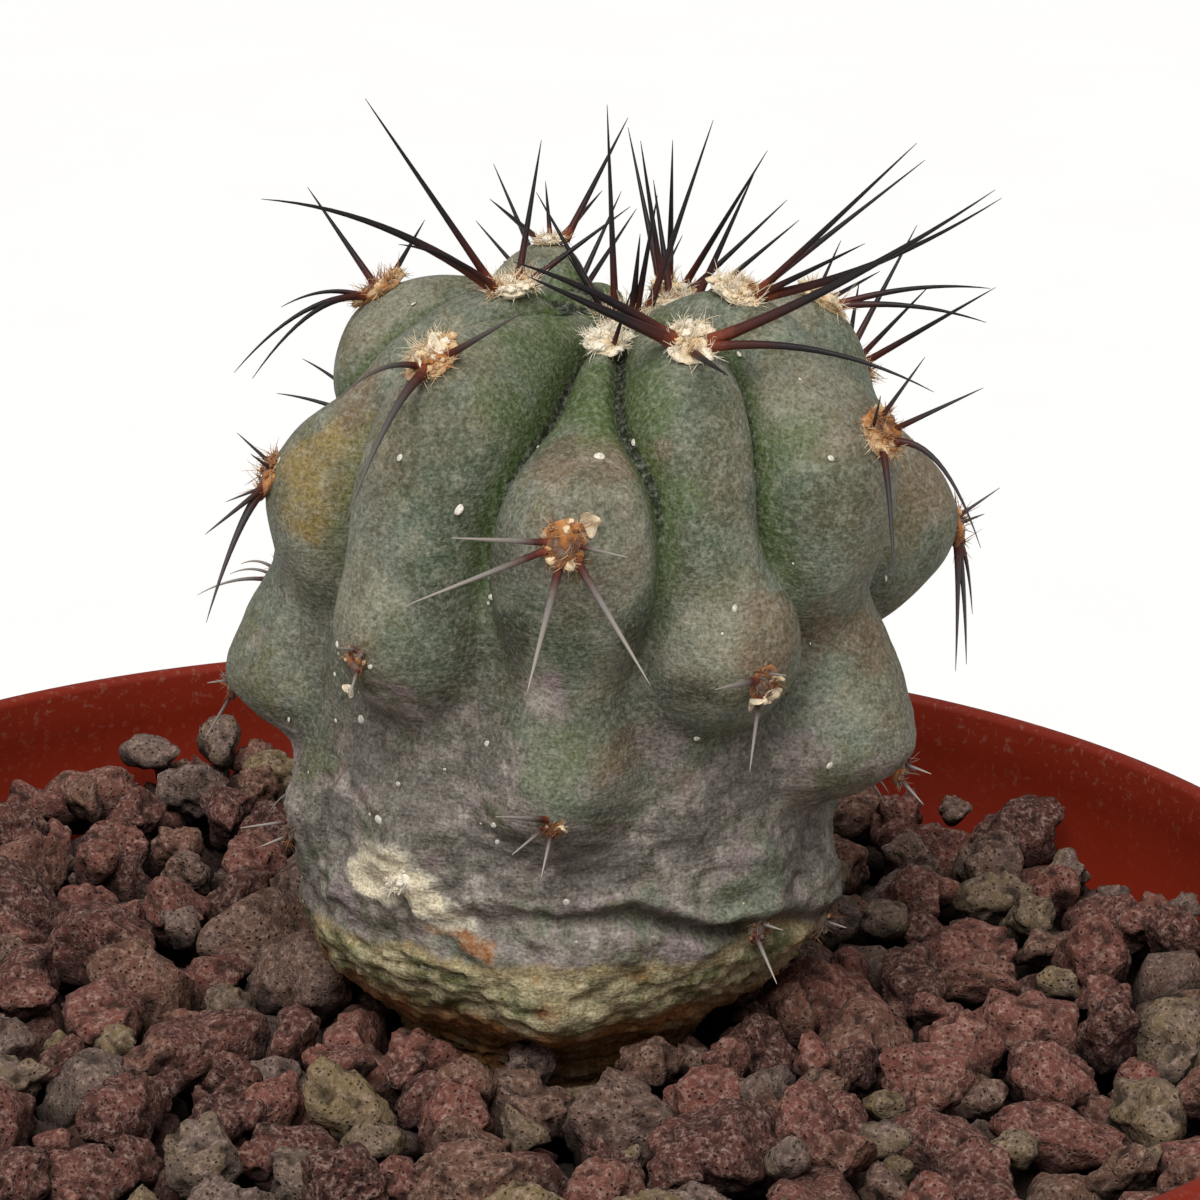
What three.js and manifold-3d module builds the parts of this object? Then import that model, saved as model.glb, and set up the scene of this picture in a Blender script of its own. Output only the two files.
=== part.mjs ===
// A small copiapoa hybrid, a globular cactus, growing in lava grit in a round plastic nursery pot.
// Millimetres, +Z up. The origin is the middle of the pot's foot and the front is -Y.
// Azimuths are in degrees from the front, positive towards +X.

import * as THREE from 'three';
import { mergeVertices } from 'three/addons/utils/BufferGeometryUtils.js';
import Module from 'manifold-3d';

const wasm = await Module();
wasm.setup();

// Pot
const POT_HEIGHT = 76;
const RIM_RADIUS = 47.5;
const RIM_BAND_HEIGHT = 9;
const RIM_STEP = 1.6;        // how far the rim band stands out of the wall below it
const WALL = 1.2;
const FOOT_RADIUS = 33;
const FOOT_RING_WIDTH = 4;
const FLOOR_LIFT = 2.4;      // the middle of the floor stands clear of the table, so that water drains
const DRAIN_HOLES = 8;
const DRAIN_RADIUS = 2.4;
const DRAIN_CIRCLE = 18;
const POT_SIDES = 48;
const DRAIN_SIDES = 10;
const POT_EDGE = 0.4;        // rounding of the rim and the foot

// Where the grit lies and the plant stands
const GRIT_BELOW_RIM = 5.5;
const GRIT_Z = POT_HEIGHT - GRIT_BELOW_RIM;
const PLANT_X = 2.65;        // the plant stands a little to the right of the pot's middle
const PLANT_Y = 6;           // and behind it
const PLANT_SUNK = 1.5;      // its foot lies this far down in the grit
const PLANT_LEAN = 0.066;    // and it leans right, in millimetres for each millimetre of height
const GAP = 0.3;             // clearance between neighbouring pieces

// Stem: [radius, height above its foot] of its side without the tubercles, from the crown to the root's tip
const STEM_SIDE = [
  [0, 37], [3.2, 37.3], [6.2, 37], [8.9, 35.8], [11.3, 33.5], [13.3, 30.4], [14.5, 26.6], [14.9, 22.2],
  [14.7, 17.4], [14.5, 13], [14.6, 9.4], [14.3, 6.6], [13.1, 4.4], [11, 2.4], [9, 0.8], [7.8, -1.2],
  [6.4, -6], [4.4, -13], [2.4, -18.4], [0, -20],
];
const STEM_SIDES = 50;
const STEM_ROWS = 32;
const ROOT_ROWS = 6;
const SIDE_SAMPLES = 720;
const FOOT_BLEND = [4, 1];          // the tubercles end from this far above the foot to this far below it

// Tubercles
const TUBERCLE_HEIGHT = 4.4;
const TUBERCLE_BEND_ACROSS = 4.4;   // radius of its top across the column
const TUBERCLE_SLOPE_UP = 0.56;     // its neck falls away towards the crown in a straight line
const TUBERCLE_ROUND_UP = 2.2;      // after a rounding this long
const TUBERCLE_BEND_DOWN = [15, 6, 3];  // the chin below drops faster the older it is: young, grown, old
const TUBERCLE_STEEPER = [0.55, 0.15];  // young and old sides fall this much faster than a plain arc
const STEEPER_AT = 4;               // at this far across
const TUBERCLE_TAPER = 0.075;       // the neck narrows by this share for each millimetre
const TAPER_LIMITS = [0.4, 1.15];
const TUBERCLE_REACH = 15;          // beyond this a tubercle adds nothing
const FULL_RADIUS = 14.5;           // of the stem, where tubercles are full size
const LEAST_SIZE = 0.45;
const RISING = [-9, 10];            // ways down the side between which they grow up
const GROWN = [7, 17];              // take their grown form
const OLD = [18, 28];               // and turn old
const TUBERCLE_ABOVE = [-2, 1.7];   // how far its middle lies above the areole, on young and grown ones
const COLUMN_SOFTNESS = 1.1;        // the tubercles of a column flow into one another
const CREASE_SOFTNESS = [0.16, 0.6];  // creases between columns are sharp at the crown, softer on old skin
const CREASES_SOFTEN = [12, 32];
const NOSE_HEIGHT = 0.7;            // small rise right round the areole
const NOSE_RADIUS = 2.6;
const SHRINKING = [15, 38, 0.8];    // from and to this far down the side the tubercles lose this share

// Areoles stand in one spiral from the crown down, which makes eleven columns
const SPIRAL_TURN = -65.45;
const SPIRAL_START = -38.8;
const COLUMNS = 11;
const SPIRAL_DROP = 1.1;            // way down the side from one areole to the next
const SPIRAL_DROP_START = -0.6;
const LEFT_SHIFT = 6.5;             // the left side's columns stand up to this many degrees further back
const LAST_AREOLE = 40;
const LOWEST_AREOLE_Z = 4.5;        // above the foot; what lies lower is corky and bare
const AGE_FROM = 6;                 // an areole's age is counted from this far down the side
const AGE_LASTS = 27;               // and is full after this much more
const PAD_AGEING = 1.2;             // felt pads shrink faster than that
// The ones that the photograph shows: [azimuth, way down the side from the crown]
const SEEN_PLACES = {
  2: [-165, 3], 3: [128, 4.6], 4: [54, 6.6], 5: [-2, 5.7], 6: [-76, 5.2], 7: [-155, 6.8], 9: [106, 9.3],
  10: [22, 8.5], 11: [-41, 10.4], 12: [-104, 9.9], 15: [56, 14], 16: [-5, 16.6], 17: [-83, 17.5],
  20: [96, 20.5], 21: [31, 23], 22: [-40.5, 22.8], 26: [67, 30], 27: [-3, 30.2], 28: [-94, 29],
  32: [43.5, 38], 33: [-35, 35.2], 37: [72, 40], 38: [0, 44.5], 39: [-74, 35.5],
};
// and how their tubercles differ: taller or lower than the others by this much
const SEEN_HEIGHTS = {
  2: -0.4, 3: -1.8, 4: 0.7, 5: -1.5, 7: 0.5, 8: -1.9, 9: -0.1, 10: 0.2, 11: 0.8, 12: 0.4, 15: 0.8,
  17: -0.7, 20: 1.1, 21: -0.5, 22: -0.5, 26: 2.4, 27: 0.2, 28: 2, 33: -0.4,
};
// with a chin that bends like this
const SEEN_CHINS = { 9: 4, 12: 2.4, 16: 9, 17: 9, 20: 4.2, 21: 5, 22: 5, 26: 2, 27: 5, 28: 2.4 };
// and a neck that slopes like this
const SEEN_NECKS = { 12: 0.4, 16: 0.8, 17: 0.75, 20: 0.7, 27: 0.36 };
// and as wide as this share of the others
const SEEN_WIDTHS = { 5: 0.5, 16: 1.15 };
// with a middle this many degrees to the right of its areole
const SEEN_TURNS = { 5: 1, 16: 2.2 };

// Spines that the photograph shows: how far each tip lies from its areole, [right, towards the front, up],
// then how far the middle of the spine bows up, where it isn't straight
const CROWN_SPINES = [
  [-2.1, 0.5, 11.8], [0.2, 2.5, 5.4], [-5.4, -2.8, 6.3], [3.6, -2, 10.6], [0.9, 3, 7.6], [-3.6, 2, 4.2],
  [2.6, -3.4, 4],
];
const SEEN_SPINES = {
  3: [[3.4, -1, 7.4], [-2, -3, 6.2], [6, -0.4, 4.7]],
  4: [[8.2, 2, 8.6], [9, -1.4, 7], [6, 3.4, 3.6], [12.6, 4.6, 6.4, -0.8]],
  5: [[1, 3, 3.6]],
  6: [[-8.3, 2, 10.4], [-13.2, 4, 5.4, 1], [-5.9, 5, 3.4, 0.5], [6, -1.5, 4.2], [1, -2.8, 7.4]],
  7: [[3.6, -2, 6.6], [-3.6, -5, 1.2], [-0.6, -4.4, 2.4], [2.6, -6, 1.6]],
  9: [[9.2, -1, 0.6, 0.5], [9, 1, -0.8, 0.5], [1, -3, 2.6], [3.4, -4.4, 0.6]],
  10: [[-8.6, 5.4, 4.6], [-9.4, 3.2, 4.8, 0.4], [12.3, 5, -1, 1], [2.2, 8.5, -0.4], [14.4, 3, 9, -0.6]],
  11: [[-4.6, 4, -1.2, 0.8], [4.6, 4.4, 3.8], [-3.2, 8, -7.1, 1.4]],
  12: [[-4.4, -2.6, 5], [-5.2, 1, -0.8, 0.6], [-6.8, 3.6, -4.6, 1.3], [-5.5, 5.2, -4.6, 1.4], [2, -5.4, 2.7]],
  15: [[4.9, 1, 2.8], [1.8, 0.4, 4.2], [-0.4, 2.4, 2.6], [5.6, 2.2, -5.4, 1.8], [1.1, 6.5, -6.8, 0.8]],
  16: [[-5.7, 3, 1], [-7.6, 3.4, -2.4], [3.1, 3, 0.2], [-1.3, 3.4, -7], [4.8, 4.4, -6]],
  17: [[-1.9, 0.2, 2.4], [0.3, 1.8, 2.2], [-1.8, 4.4, -7.2, 1.2], [-0.8, 4.6, -3.4], [-2.2, 1, -1.2]],
  20: [[-0.2, 2, -7.6, 0.9], [1.4, 0.6, -7.6, 0.9], [1.6, -1.3, -5.3, 0.9], [0.8, -0.6, 3.2],
    [1.4, 0.9, 1.1]],
  21: [[-3.6, 5.4, 2], [-0.4, 2.6, -4], [1, 1.6, 0.9]],
  22: [[-1, 1.4, 1], [0.8, 1, 0.6], [-0.2, 1.6, -1.6]],
  26: [[1.4, 1, -1.6], [1.7, 0.4, 0.8]],
  27: [[-3, 4.6, 2], [-2, 2, -1], [-0.4, 2, -2.2]],
  28: [[-1.4, 0.8, -3], [-1.5, 0.2, 0.6]],
  32: [[-1.6, 4.2, -0.2], [1.2, 1.4, 0.5]],
  33: [[0.5, 1, -0.3]],
  37: [[1.3, 0.8, 0.1]],
  39: [[-2.8, 0.7, 0.4], [-1.6, 0.9, -0.8]],
};

// Behind, each areole bears a fan of spines that shortens and droops with age
const FAN_SPINES = [5, 2];          // at a young and at an old areole
const FAN_LENGTH = [11, 2.6];
const FAN_AGEING = 1.15;            // they shorten this much faster than an areole ages
const FAN_STEP = 50;                // degrees from one to the next
const FAN_SHIFT = 20;               // how many of them chance moves one
const FAN_SPREAD = [0.75, 1.15];    // least and most slant off the areole's own direction
const FAN_SHARES = [0.75, 1.15];    // shortest and longest, as shares of the length
const FAN_SLOPE = [0.9, -0.5];      // the fan opens upwards at a young and downwards at an old areole
const FAN_LIFT = [0.35, -0.2];
const FAN_BOW = 0.7;
const SPINE_RADIUS = 0.4;
const SPINE_BEND_RADIUS = 0.66;     // share of the root's radius that is left at the bend
const SPINE_CLEAR = 0.45;           // distance kept from the felt and the spines of other areoles
const SPINE_ROOT_SPACE = 1.3;       // radii kept from the stem at the root, and less towards the tip
const SPINE_UPPER = 0.8;            // share of the radius that its upper half is taken to have
const SPINE_LOWEST = 3.6;           // height over the plant's foot that clears the grains
const SPINE_ROOT_OUT = 0.4;         // share of the felt's radius at which a spine leaves it
const SPINE_FREE_IN = 0.9;          // and within which it isn't looked at
const SPINE_BENDS_AT = 0.52;        // share of the way to its tip
const LEAST_BOW = 0.3;              // a spine that bows less is straight
const THIN_BELOW = 7;               // shorter spines are thinner
const THINNEST = 0.55;              // down to this share
const TURNS = 160;                  // tries to turn a spine clear
const TURN_STEP = 0.02;             // each turns it by up to this much more
const TURN_OUT = 0.012;             // and this much more away from the stem
const CHECKS = 12;                  // places along a spine that are looked at
const LINE_CHECKS = 10;             // and where two spines pass

// Felt pads: radius of a young and of an old one, thickness as a share of the radius
const FELT_RADIUS = [1.9, 0.9];
const FELT_THICKNESS = 0.5;
const FELT_ACROSS = 0.92;           // a pad is narrower than its radius
const FELT_ALONG = 1.08;            // and longer along the stem
const FELT_SIDES = 7;
const FELT_RINGS = 4;
const CROWN_WOOL_PLACE = [40, 1.6];
const CROWN_WOOL_RADIUS = 2.5;
const WOOL_UNTIL = 0.2;             // age at which the pale wool has turned to brown felt

// Grit
const GRAINS = 124;
const GRAIN_RADIUS = [3.4, 5.4];
const GRAIN_SHIFT = 2.4;            // how far chance moves one aside
const GRAIN_SUNK = [0.75, 0.3];     // share of its radius by which a grain lies below the surface by the stem
const GRAIN_BY_STEM = [1, 9];       // and away from it, with the distances from the stem's foot
const GRAIN_LONG = [1, 1.35];       // least and most length, width and height, as shares of its radius
const GRAIN_WIDE = [0.8, 1];
const GRAIN_HIGH = [0.65, 0.9];
const GRAIN_ROUGH = [0.84, 1.14];
const GRAIN_TIPPED = 0.7;           // how far one may lean, in radians
const GRAIN_FAVOUR_SMALL = 1.4;
const GRAIN_EDGE = 1.2;             // distance of the outermost middles from the wall
const GRAIN_OFF_STEM = 0.3;         // least distance of a middle from the stem's foot, as a share of its radius
const GOLDEN_ANGLE = 137.508;
const GRIT_DETAIL = 0.3;            // what is smaller is smoothed away
const HOLE_SIDES = 18;              // of the plain hole that the root stands in
const HOLE_WIDER = 1.6;
const HOLE_STEP = 3.5;              // way down the side from ring to ring
const HOLE_FLARE = [3, 1];          // wide down to this far above the foot, plain from this far below it
const HOLE_MORE = 2;                // and goes on this far past the root's tip and above the stem's foot
const GRIT_BOWL = 1.3;              // the surface rises this much from the middle to the wall
const GRIT_TILT = 1;                // and lies this much higher at the left wall
const BED_RINGS = 7;
const BED_SUNK = 0.8;               // depth of the bed under the grains' middles
const BED_ROUGH = 0.5;
const BED_PAST_WALL = 2;            // it is drawn this much wider than the pot, whose inside then cuts it off

const radians = THREE.MathUtils.degToRad;
const mix = THREE.MathUtils.lerp;
const clamp = THREE.MathUtils.clamp;
const smoothstep = THREE.MathUtils.smoothstep;

// Numbers between 0 and 1 that are the same in every run
function seeded(seed) {
  let state = seed;
  return () => {
    state = (state * 1664525 + 1013904223) % 4294967296;
    return state / 4294967296;
  };
}

// A closed geometry as a solid that can be cut and joined
function solidOf(geometry) {
  const bare = geometry.clone();
  bare.deleteAttribute('normal');
  bare.deleteAttribute('uv');
  const merged = mergeVertices(bare, 1e-4);
  return new wasm.Manifold(new wasm.Mesh({
    numProp: 3,
    vertProperties: new Float32Array(merged.attributes.position.array),
    triVerts: new Uint32Array(merged.index.array),
  }));
}

function geometryOf(solid) {
  const { numProp, numVert, vertProperties, triVerts } = solid.getMesh();
  const positions = new Float32Array(numVert * 3);
  for (let i = 0; i < numVert; i++) {
    positions.set(vertProperties.subarray(i * numProp, i * numProp + 3), i * 3);
  }
  const geometry = new THREE.BufferGeometry();
  geometry.setAttribute('position', new THREE.BufferAttribute(positions, 3));
  geometry.setIndex(new THREE.BufferAttribute(new Uint32Array(triVerts), 1));
  geometry.computeVertexNormals();
  return geometry;
}

// Keeps the largest piece, so that no crumb left by a cut stays loose
function largest(solid) {
  return solid.decompose().sort((a, b) => b.volume() - a.volume())[0];
}

function lathe(profile, sides) {
  const geometry = new THREE.LatheGeometry(profile.map(([r, z]) => new THREE.Vector2(r, z)), sides);
  geometry.rotateX(Math.PI / 2);
  return geometry;
}

// Pot: the wall is one straight cone below the rim band
const wallTopZ = POT_HEIGHT - RIM_BAND_HEIGHT;
const wallTopRadius = RIM_RADIUS - RIM_STEP;
const floorTopZ = FLOOR_LIFT + WALL;

function innerRadius(z) {
  const cone = mix(FOOT_RADIUS, wallTopRadius, clamp(z / wallTopZ, 0, 1));
  const band = RIM_STEP * clamp((z - wallTopZ) / RIM_STEP, 0, 1);
  return cone + band - WALL;
}

function makePot() {
  const ringInner = FOOT_RADIUS - FOOT_RING_WIDTH;
  const bandFootZ = wallTopZ + RIM_STEP;
  const profile = [
    [0, FLOOR_LIFT],
    [ringInner - FLOOR_LIFT, FLOOR_LIFT],
    [ringInner, 0],
    [FOOT_RADIUS - 2 * POT_EDGE, 0],
    [FOOT_RADIUS, 2 * POT_EDGE],
    [wallTopRadius, wallTopZ],
    [RIM_RADIUS - POT_EDGE, wallTopZ],
    [RIM_RADIUS, wallTopZ + POT_EDGE],
    [RIM_RADIUS, POT_HEIGHT - POT_EDGE],
    [RIM_RADIUS - POT_EDGE, POT_HEIGHT],
    [RIM_RADIUS - WALL + POT_EDGE, POT_HEIGHT],
    [RIM_RADIUS - WALL, POT_HEIGHT - POT_EDGE],
    [RIM_RADIUS - WALL, bandFootZ],
    [innerRadius(wallTopZ), wallTopZ],
    [innerRadius(floorTopZ), floorTopZ],
    [0, floorTopZ],
  ];
  let pot = solidOf(lathe(profile, POT_SIDES));
  for (let i = 0; i < DRAIN_HOLES; i++) {
    const hole = new THREE.CylinderGeometry(DRAIN_RADIUS, DRAIN_RADIUS, 4 * floorTopZ, DRAIN_SIDES);
    const turn = (i * 2 * Math.PI) / DRAIN_HOLES;
    hole.rotateX(Math.PI / 2);
    hole.translate(DRAIN_CIRCLE * Math.cos(turn), DRAIN_CIRCLE * Math.sin(turn), 0);
    pot = pot.subtract(solidOf(hole));
  }
  return pot;
}

// The stem's side as a smooth line, with the way down it from the crown at each sample
const side = (() => {
  const corners = STEM_SIDE.map(([r, z]) => new THREE.Vector3(r, 0, z));
  const line = new THREE.CatmullRomCurve3(corners, false, 'centripetal');
  const samples = [];
  let way = 0;
  let last = null;
  for (let i = 0; i <= SIDE_SAMPLES; i++) {
    const point = line.getPoint(i / SIDE_SAMPLES);
    const tangent = line.getTangent(i / SIDE_SAMPLES);
    if (last) way += point.distanceTo(last);
    samples.push({ way, r: Math.max(point.x, 0), z: point.z, tr: tangent.x, tz: tangent.z });
    last = point;
  }
  return samples;
})();
const sideEnd = side[side.length - 1].way;
const groundWay = side.find((sample) => sample.z < 0).way;

function sideAt(way) {
  const wanted = clamp(way, 0, sideEnd);
  let low = 0;
  let high = side.length - 1;
  while (high - low > 1) {
    const middle = (low + high) >> 1;
    if (side[middle].way <= wanted) low = middle;
    else high = middle;
  }
  const share = (wanted - side[low].way) / Math.max(side[high].way - side[low].way, 1e-9);
  const at = (key) => mix(side[low][key], side[high][key], share);
  return { r: at('r'), z: at('z'), tr: at('tr'), tz: at('tz') };
}

// A place on the smooth side with its directions: out of it, up it towards the crown, and round it
function frameAt(azimuth, way) {
  const { r, z, tr, tz } = sideAt(way);
  const a = radians(azimuth);
  const outward = new THREE.Vector3(Math.sin(a), -Math.cos(a), 0);
  const round = new THREE.Vector3(Math.cos(a), Math.sin(a), 0);
  const point = outward.clone().multiplyScalar(r).add(new THREE.Vector3(0, 0, z));
  const up = outward.clone().multiplyScalar(-tr).add(new THREE.Vector3(0, 0, -tz)).normalize();
  const normal = new THREE.Vector3().crossVectors(round, up).normalize();
  return { point, normal, up, round };
}

// From upright on the plant's own axis to its place in the pot
function planted(point) {
  const x = point.x + PLANT_X + PLANT_LEAN * Math.max(point.z, 0);
  return new THREE.Vector3(x, point.y + PLANT_Y, point.z + GRIT_Z - PLANT_SUNK);
}

// The spiral of areoles
function wrap(azimuth) {
  return azimuth - 360 * Math.round(azimuth / 360);
}

const areoles = [];
for (let number = 0; number <= LAST_AREOLE; number++) {
  let azimuth = wrap(SPIRAL_START + number * SPIRAL_TURN);
  if (azimuth < 0) azimuth += LEFT_SHIFT * Math.sin(radians(azimuth));
  const [turned, way] = SEEN_PLACES[number] ?? [azimuth, number * SPIRAL_DROP + SPIRAL_DROP_START];
  const [shrinksFrom, shrinksTo, shrinks] = SHRINKING;
  const shrunk = shrinks * smoothstep(way, shrinksFrom, shrinksTo);
  const height = TUBERCLE_HEIGHT * smoothstep(way, ...RISING) * (1 - shrunk);
  const grown = smoothstep(way, ...GROWN);
  const old = smoothstep(way, ...OLD);
  const [youngChin, grownChin, oldChin] = TUBERCLE_BEND_DOWN;
  const chin = mix(mix(youngChin, grownChin, grown), oldChin, old);
  areoles.push({
    number, azimuth: turned, way,
    height: height + (SEEN_HEIGHTS[number] ?? 0),
    age: clamp((way - AGE_FROM) / AGE_LASTS, 0, 1),
    size: clamp(sideAt(way).r / FULL_RADIUS, LEAST_SIZE, 1) * (SEEN_WIDTHS[number] ?? 1),
    steeper: mix(...TUBERCLE_STEEPER, old),
    middle: frameAt(turned + (SEEN_TURNS[number] ?? 0), Math.max(way - mix(...TUBERCLE_ABOVE, grown), 0)),
    bendDown: SEEN_CHINS[number] ?? chin,
    slopeUp: SEEN_NECKS[number] ?? TUBERCLE_SLOPE_UP,
    frame: frameAt(turned, way),
  });
}

// How far a tubercle has fallen off at a way across and up from its middle
function fallOff(across, up, { size, steeper, bendDown, slopeUp }) {
  const bend = TUBERCLE_BEND_ACROSS * size * clamp(1 - TUBERCLE_TAPER * up, ...TAPER_LIMITS);
  const sideways = (across ** 2 / (2 * bend)) * (1 + steeper * (across / STEEPER_AT) ** 2);
  const neck = slopeUp * (Math.hypot(up, TUBERCLE_ROUND_UP) - TUBERCLE_ROUND_UP);
  return sideways + (up > 0 ? neck : up ** 2 / (2 * bendDown));
}

// How high the tubercles stand over the smooth side there: the highest column of them, with soft creases
function tubercleRise(point, way) {
  const columns = new Array(COLUMNS).fill(0);
  for (const areole of areoles) {
    const { middle, frame, height } = areole;
    const apart = new THREE.Vector3().subVectors(point, middle.point);
    const distance = apart.length();
    if (distance > TUBERCLE_REACH) continue;
    const across = apart.dot(middle.round);
    const up = apart.dot(middle.up);
    const stretch = distance / Math.max(Math.hypot(across, up), 1e-6);
    const nose = NOSE_HEIGHT * Math.exp(-point.distanceToSquared(frame.point) / NOSE_RADIUS ** 2);
    const rise = height * (1 + nose / TUBERCLE_HEIGHT) - fallOff(across * stretch, up * stretch, areole);
    columns[areole.number % COLUMNS] += Math.exp(rise / COLUMN_SOFTNESS);
  }
  const crease = mix(...CREASE_SOFTNESS, smoothstep(way, ...CREASES_SOFTEN));
  let sum = 1;
  for (const column of columns) sum += column ** (COLUMN_SOFTNESS / crease);
  return crease * Math.log(sum);
}

function stemPoint(azimuth, way) {
  const { point, normal } = frameAt(azimuth, way);
  const buried = 1 - smoothstep(way, groundWay - FOOT_BLEND[0], groundWay + FOOT_BLEND[1]);
  return point.addScaledVector(normal, tubercleRise(point.clone(), way) * buried);
}

// Rings of points closed by a tip at each end
function skin(rings, top, bottom) {
  const positions = [];
  const faces = [];
  const sides = rings[0].length;
  for (const { x, y, z } of rings.flat()) positions.push(x, y, z);
  positions.push(top.x, top.y, top.z, bottom.x, bottom.y, bottom.z);
  const topIndex = rings.length * sides;
  for (let i = 0; i < sides; i++) {
    const next = (i + 1) % sides;
    faces.push(topIndex, i, next);
    for (let j = 0; j + 1 < rings.length; j++) {
      const here = j * sides;
      const below = here + sides;
      faces.push(here + i, below + i, below + next, here + i, below + next, here + next);
    }
    const lowest = (rings.length - 1) * sides;
    faces.push(topIndex + 1, lowest + next, lowest + i);
  }
  const geometry = new THREE.BufferGeometry();
  geometry.setAttribute('position', new THREE.Float32BufferAttribute(positions, 3));
  geometry.setIndex(faces);
  return geometry;
}

function makeStemBody() {
  const rings = [];
  const ways = [];
  for (let j = 1; j <= STEM_ROWS; j++) ways.push((groundWay * j) / STEM_ROWS);
  for (let j = 1; j < ROOT_ROWS; j++) ways.push(mix(groundWay, sideEnd, j / ROOT_ROWS));
  for (const way of ways) {
    const ring = [];
    for (let i = 0; i < STEM_SIDES; i++) ring.push(planted(stemPoint((i * 360) / STEM_SIDES, way)));
    rings.push(ring);
  }
  return solidOf(skin(rings, planted(stemPoint(0, 0)), planted(frameAt(0, sideEnd).point)));
}

// How far a point of the plant's own space lies outside the stem, closely enough near its surface
function outsideStem(point) {
  const azimuth = THREE.MathUtils.radToDeg(Math.atan2(point.x, -point.y));
  const r = Math.hypot(point.x, point.y);
  let best = null;
  for (let i = 0; i < side.length; i += 3) {
    const distance = Math.hypot(r - side[i].r, point.z - side[i].z);
    if (!best || distance < best.distance) best = { distance, sample: side[i] };
  }
  const { way } = best.sample;
  const frame = frameAt(azimuth, way);
  const height = new THREE.Vector3().subVectors(point, frame.point).dot(frame.normal);
  return height - tubercleRise(frame.point, way);
}

// Distance between two straight pieces of spine, sampled
function apartBy(first, second) {
  let least = Infinity;
  const line = new THREE.Line3(second[0], second[1]);
  const near = new THREE.Vector3();
  for (let i = 0; i <= LINE_CHECKS; i++) {
    const point = first[0].clone().lerp(first[1], i / LINE_CHECKS);
    line.closestPointToPoint(point, true, near);
    least = Math.min(least, point.distanceTo(near));
  }
  return least;
}

// A spine as root, bend and tip; where it would touch another areole's spine or the stem it is turned clear
const placedSpines = [];

function clearSpine(owner, root, reach, bow, random) {
  const length = reach.length();
  const out = owner.frame.normal;
  for (let attempt = 0; attempt < TURNS; attempt++) {
    const strength = TURN_STEP * attempt;
    const turned = reach.clone().normalize();
    turned.x += strength * (random() - 0.5);
    turned.y += strength * (random() - 0.5);
    turned.z += strength * (random() - 0.5);
    turned.addScaledVector(out, TURN_OUT * attempt);
    turned.setLength(length);
    const tip = root.clone().add(turned);
    const bend = root.clone().addScaledVector(turned, SPINE_BENDS_AT).add(new THREE.Vector3(0, 0, bow));
    let clear = true;
    for (let i = 2; i <= CHECKS && clear; i++) {
      const share = i / CHECKS;
      const point = share < 0.5 ? root.clone().lerp(bend, share * 2) : bend.clone().lerp(tip, share * 2 - 1);
      if (point.distanceTo(owner.feltMiddle) < owner.felt * SPINE_FREE_IN) continue;
      const space = SPINE_RADIUS * (SPINE_ROOT_SPACE - share) + GAP;
      if (outsideStem(point) < space || point.z < SPINE_LOWEST) clear = false;
    }
    for (const other of placedSpines) {
      if (!clear) break;
      if (other.owner === owner.number) continue;
      for (const piece of [[root, bend], [bend, tip]]) {
        if (apartBy(piece, other.lower) < SPINE_CLEAR + 2 * SPINE_RADIUS) clear = false;
        if (apartBy(piece, other.upper) < SPINE_CLEAR + 2 * SPINE_UPPER * SPINE_RADIUS) clear = false;
      }
    }
    for (const pad of areoles) {
      if (!clear) break;
      if (pad.number === owner.number || !pad.felt) continue;
      const line = new THREE.Line3(root, tip);
      const near = line.closestPointToPoint(pad.feltMiddle, true, new THREE.Vector3());
      if (near.distanceTo(pad.feltMiddle) < pad.felt + SPINE_CLEAR + SPINE_RADIUS) clear = false;
    }
    if (clear) {
      placedSpines.push({ owner: owner.number, lower: [root, bend], upper: [bend, tip] });
      return { root, bend: Math.abs(bow) > LEAST_BOW ? bend : null, tip };
    }
  }
  return null;
}

function spineSolid({ root, bend, tip }, radius) {
  const lower = (bend ?? tip).clone().sub(root).normalize();
  const sections = [[root, lower, radius]];
  if (bend) {
    const upper = tip.clone().sub(bend).normalize();
    sections.push([bend, upper.add(lower).normalize(), radius * SPINE_BEND_RADIUS]);
  }
  const aside = Math.abs(lower.z) < 0.9 ? new THREE.Vector3(0, 0, 1) : new THREE.Vector3(1, 0, 0);
  const across = aside.cross(lower).normalize();
  const rings = sections.map(([point, direction, size]) => {
    const u = across.clone().addScaledVector(direction, -across.dot(direction)).normalize();
    const v = new THREE.Vector3().crossVectors(direction, u);
    return [0, 120, 240].map((turn) => {
      const corner = point.clone().addScaledVector(u, size * Math.cos(radians(turn)));
      return planted(corner.addScaledVector(v, size * Math.sin(radians(turn))));
    });
  }).reverse();
  return solidOf(skin(rings, planted(tip), planted(root)));
}

// A flattened ball of felt set half into the tubercle
function feltSolid({ frame, feltMiddle, felt }, grown) {
  const ball = new THREE.SphereGeometry(1, FELT_SIDES, FELT_RINGS);
  const place = ball.attributes.position;
  for (let i = 0; i < place.count; i++) {
    const point = feltMiddle.clone()
      .addScaledVector(frame.round, place.getX(i) * (felt * FELT_ACROSS + grown))
      .addScaledVector(frame.up, place.getY(i) * (felt * FELT_ALONG + grown))
      .addScaledVector(frame.normal, place.getZ(i) * (felt * FELT_THICKNESS + grown));
    const spot = planted(point);
    place.setXYZ(i, spot.x, spot.y, spot.z);
  }
  return solidOf(ball);
}

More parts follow.
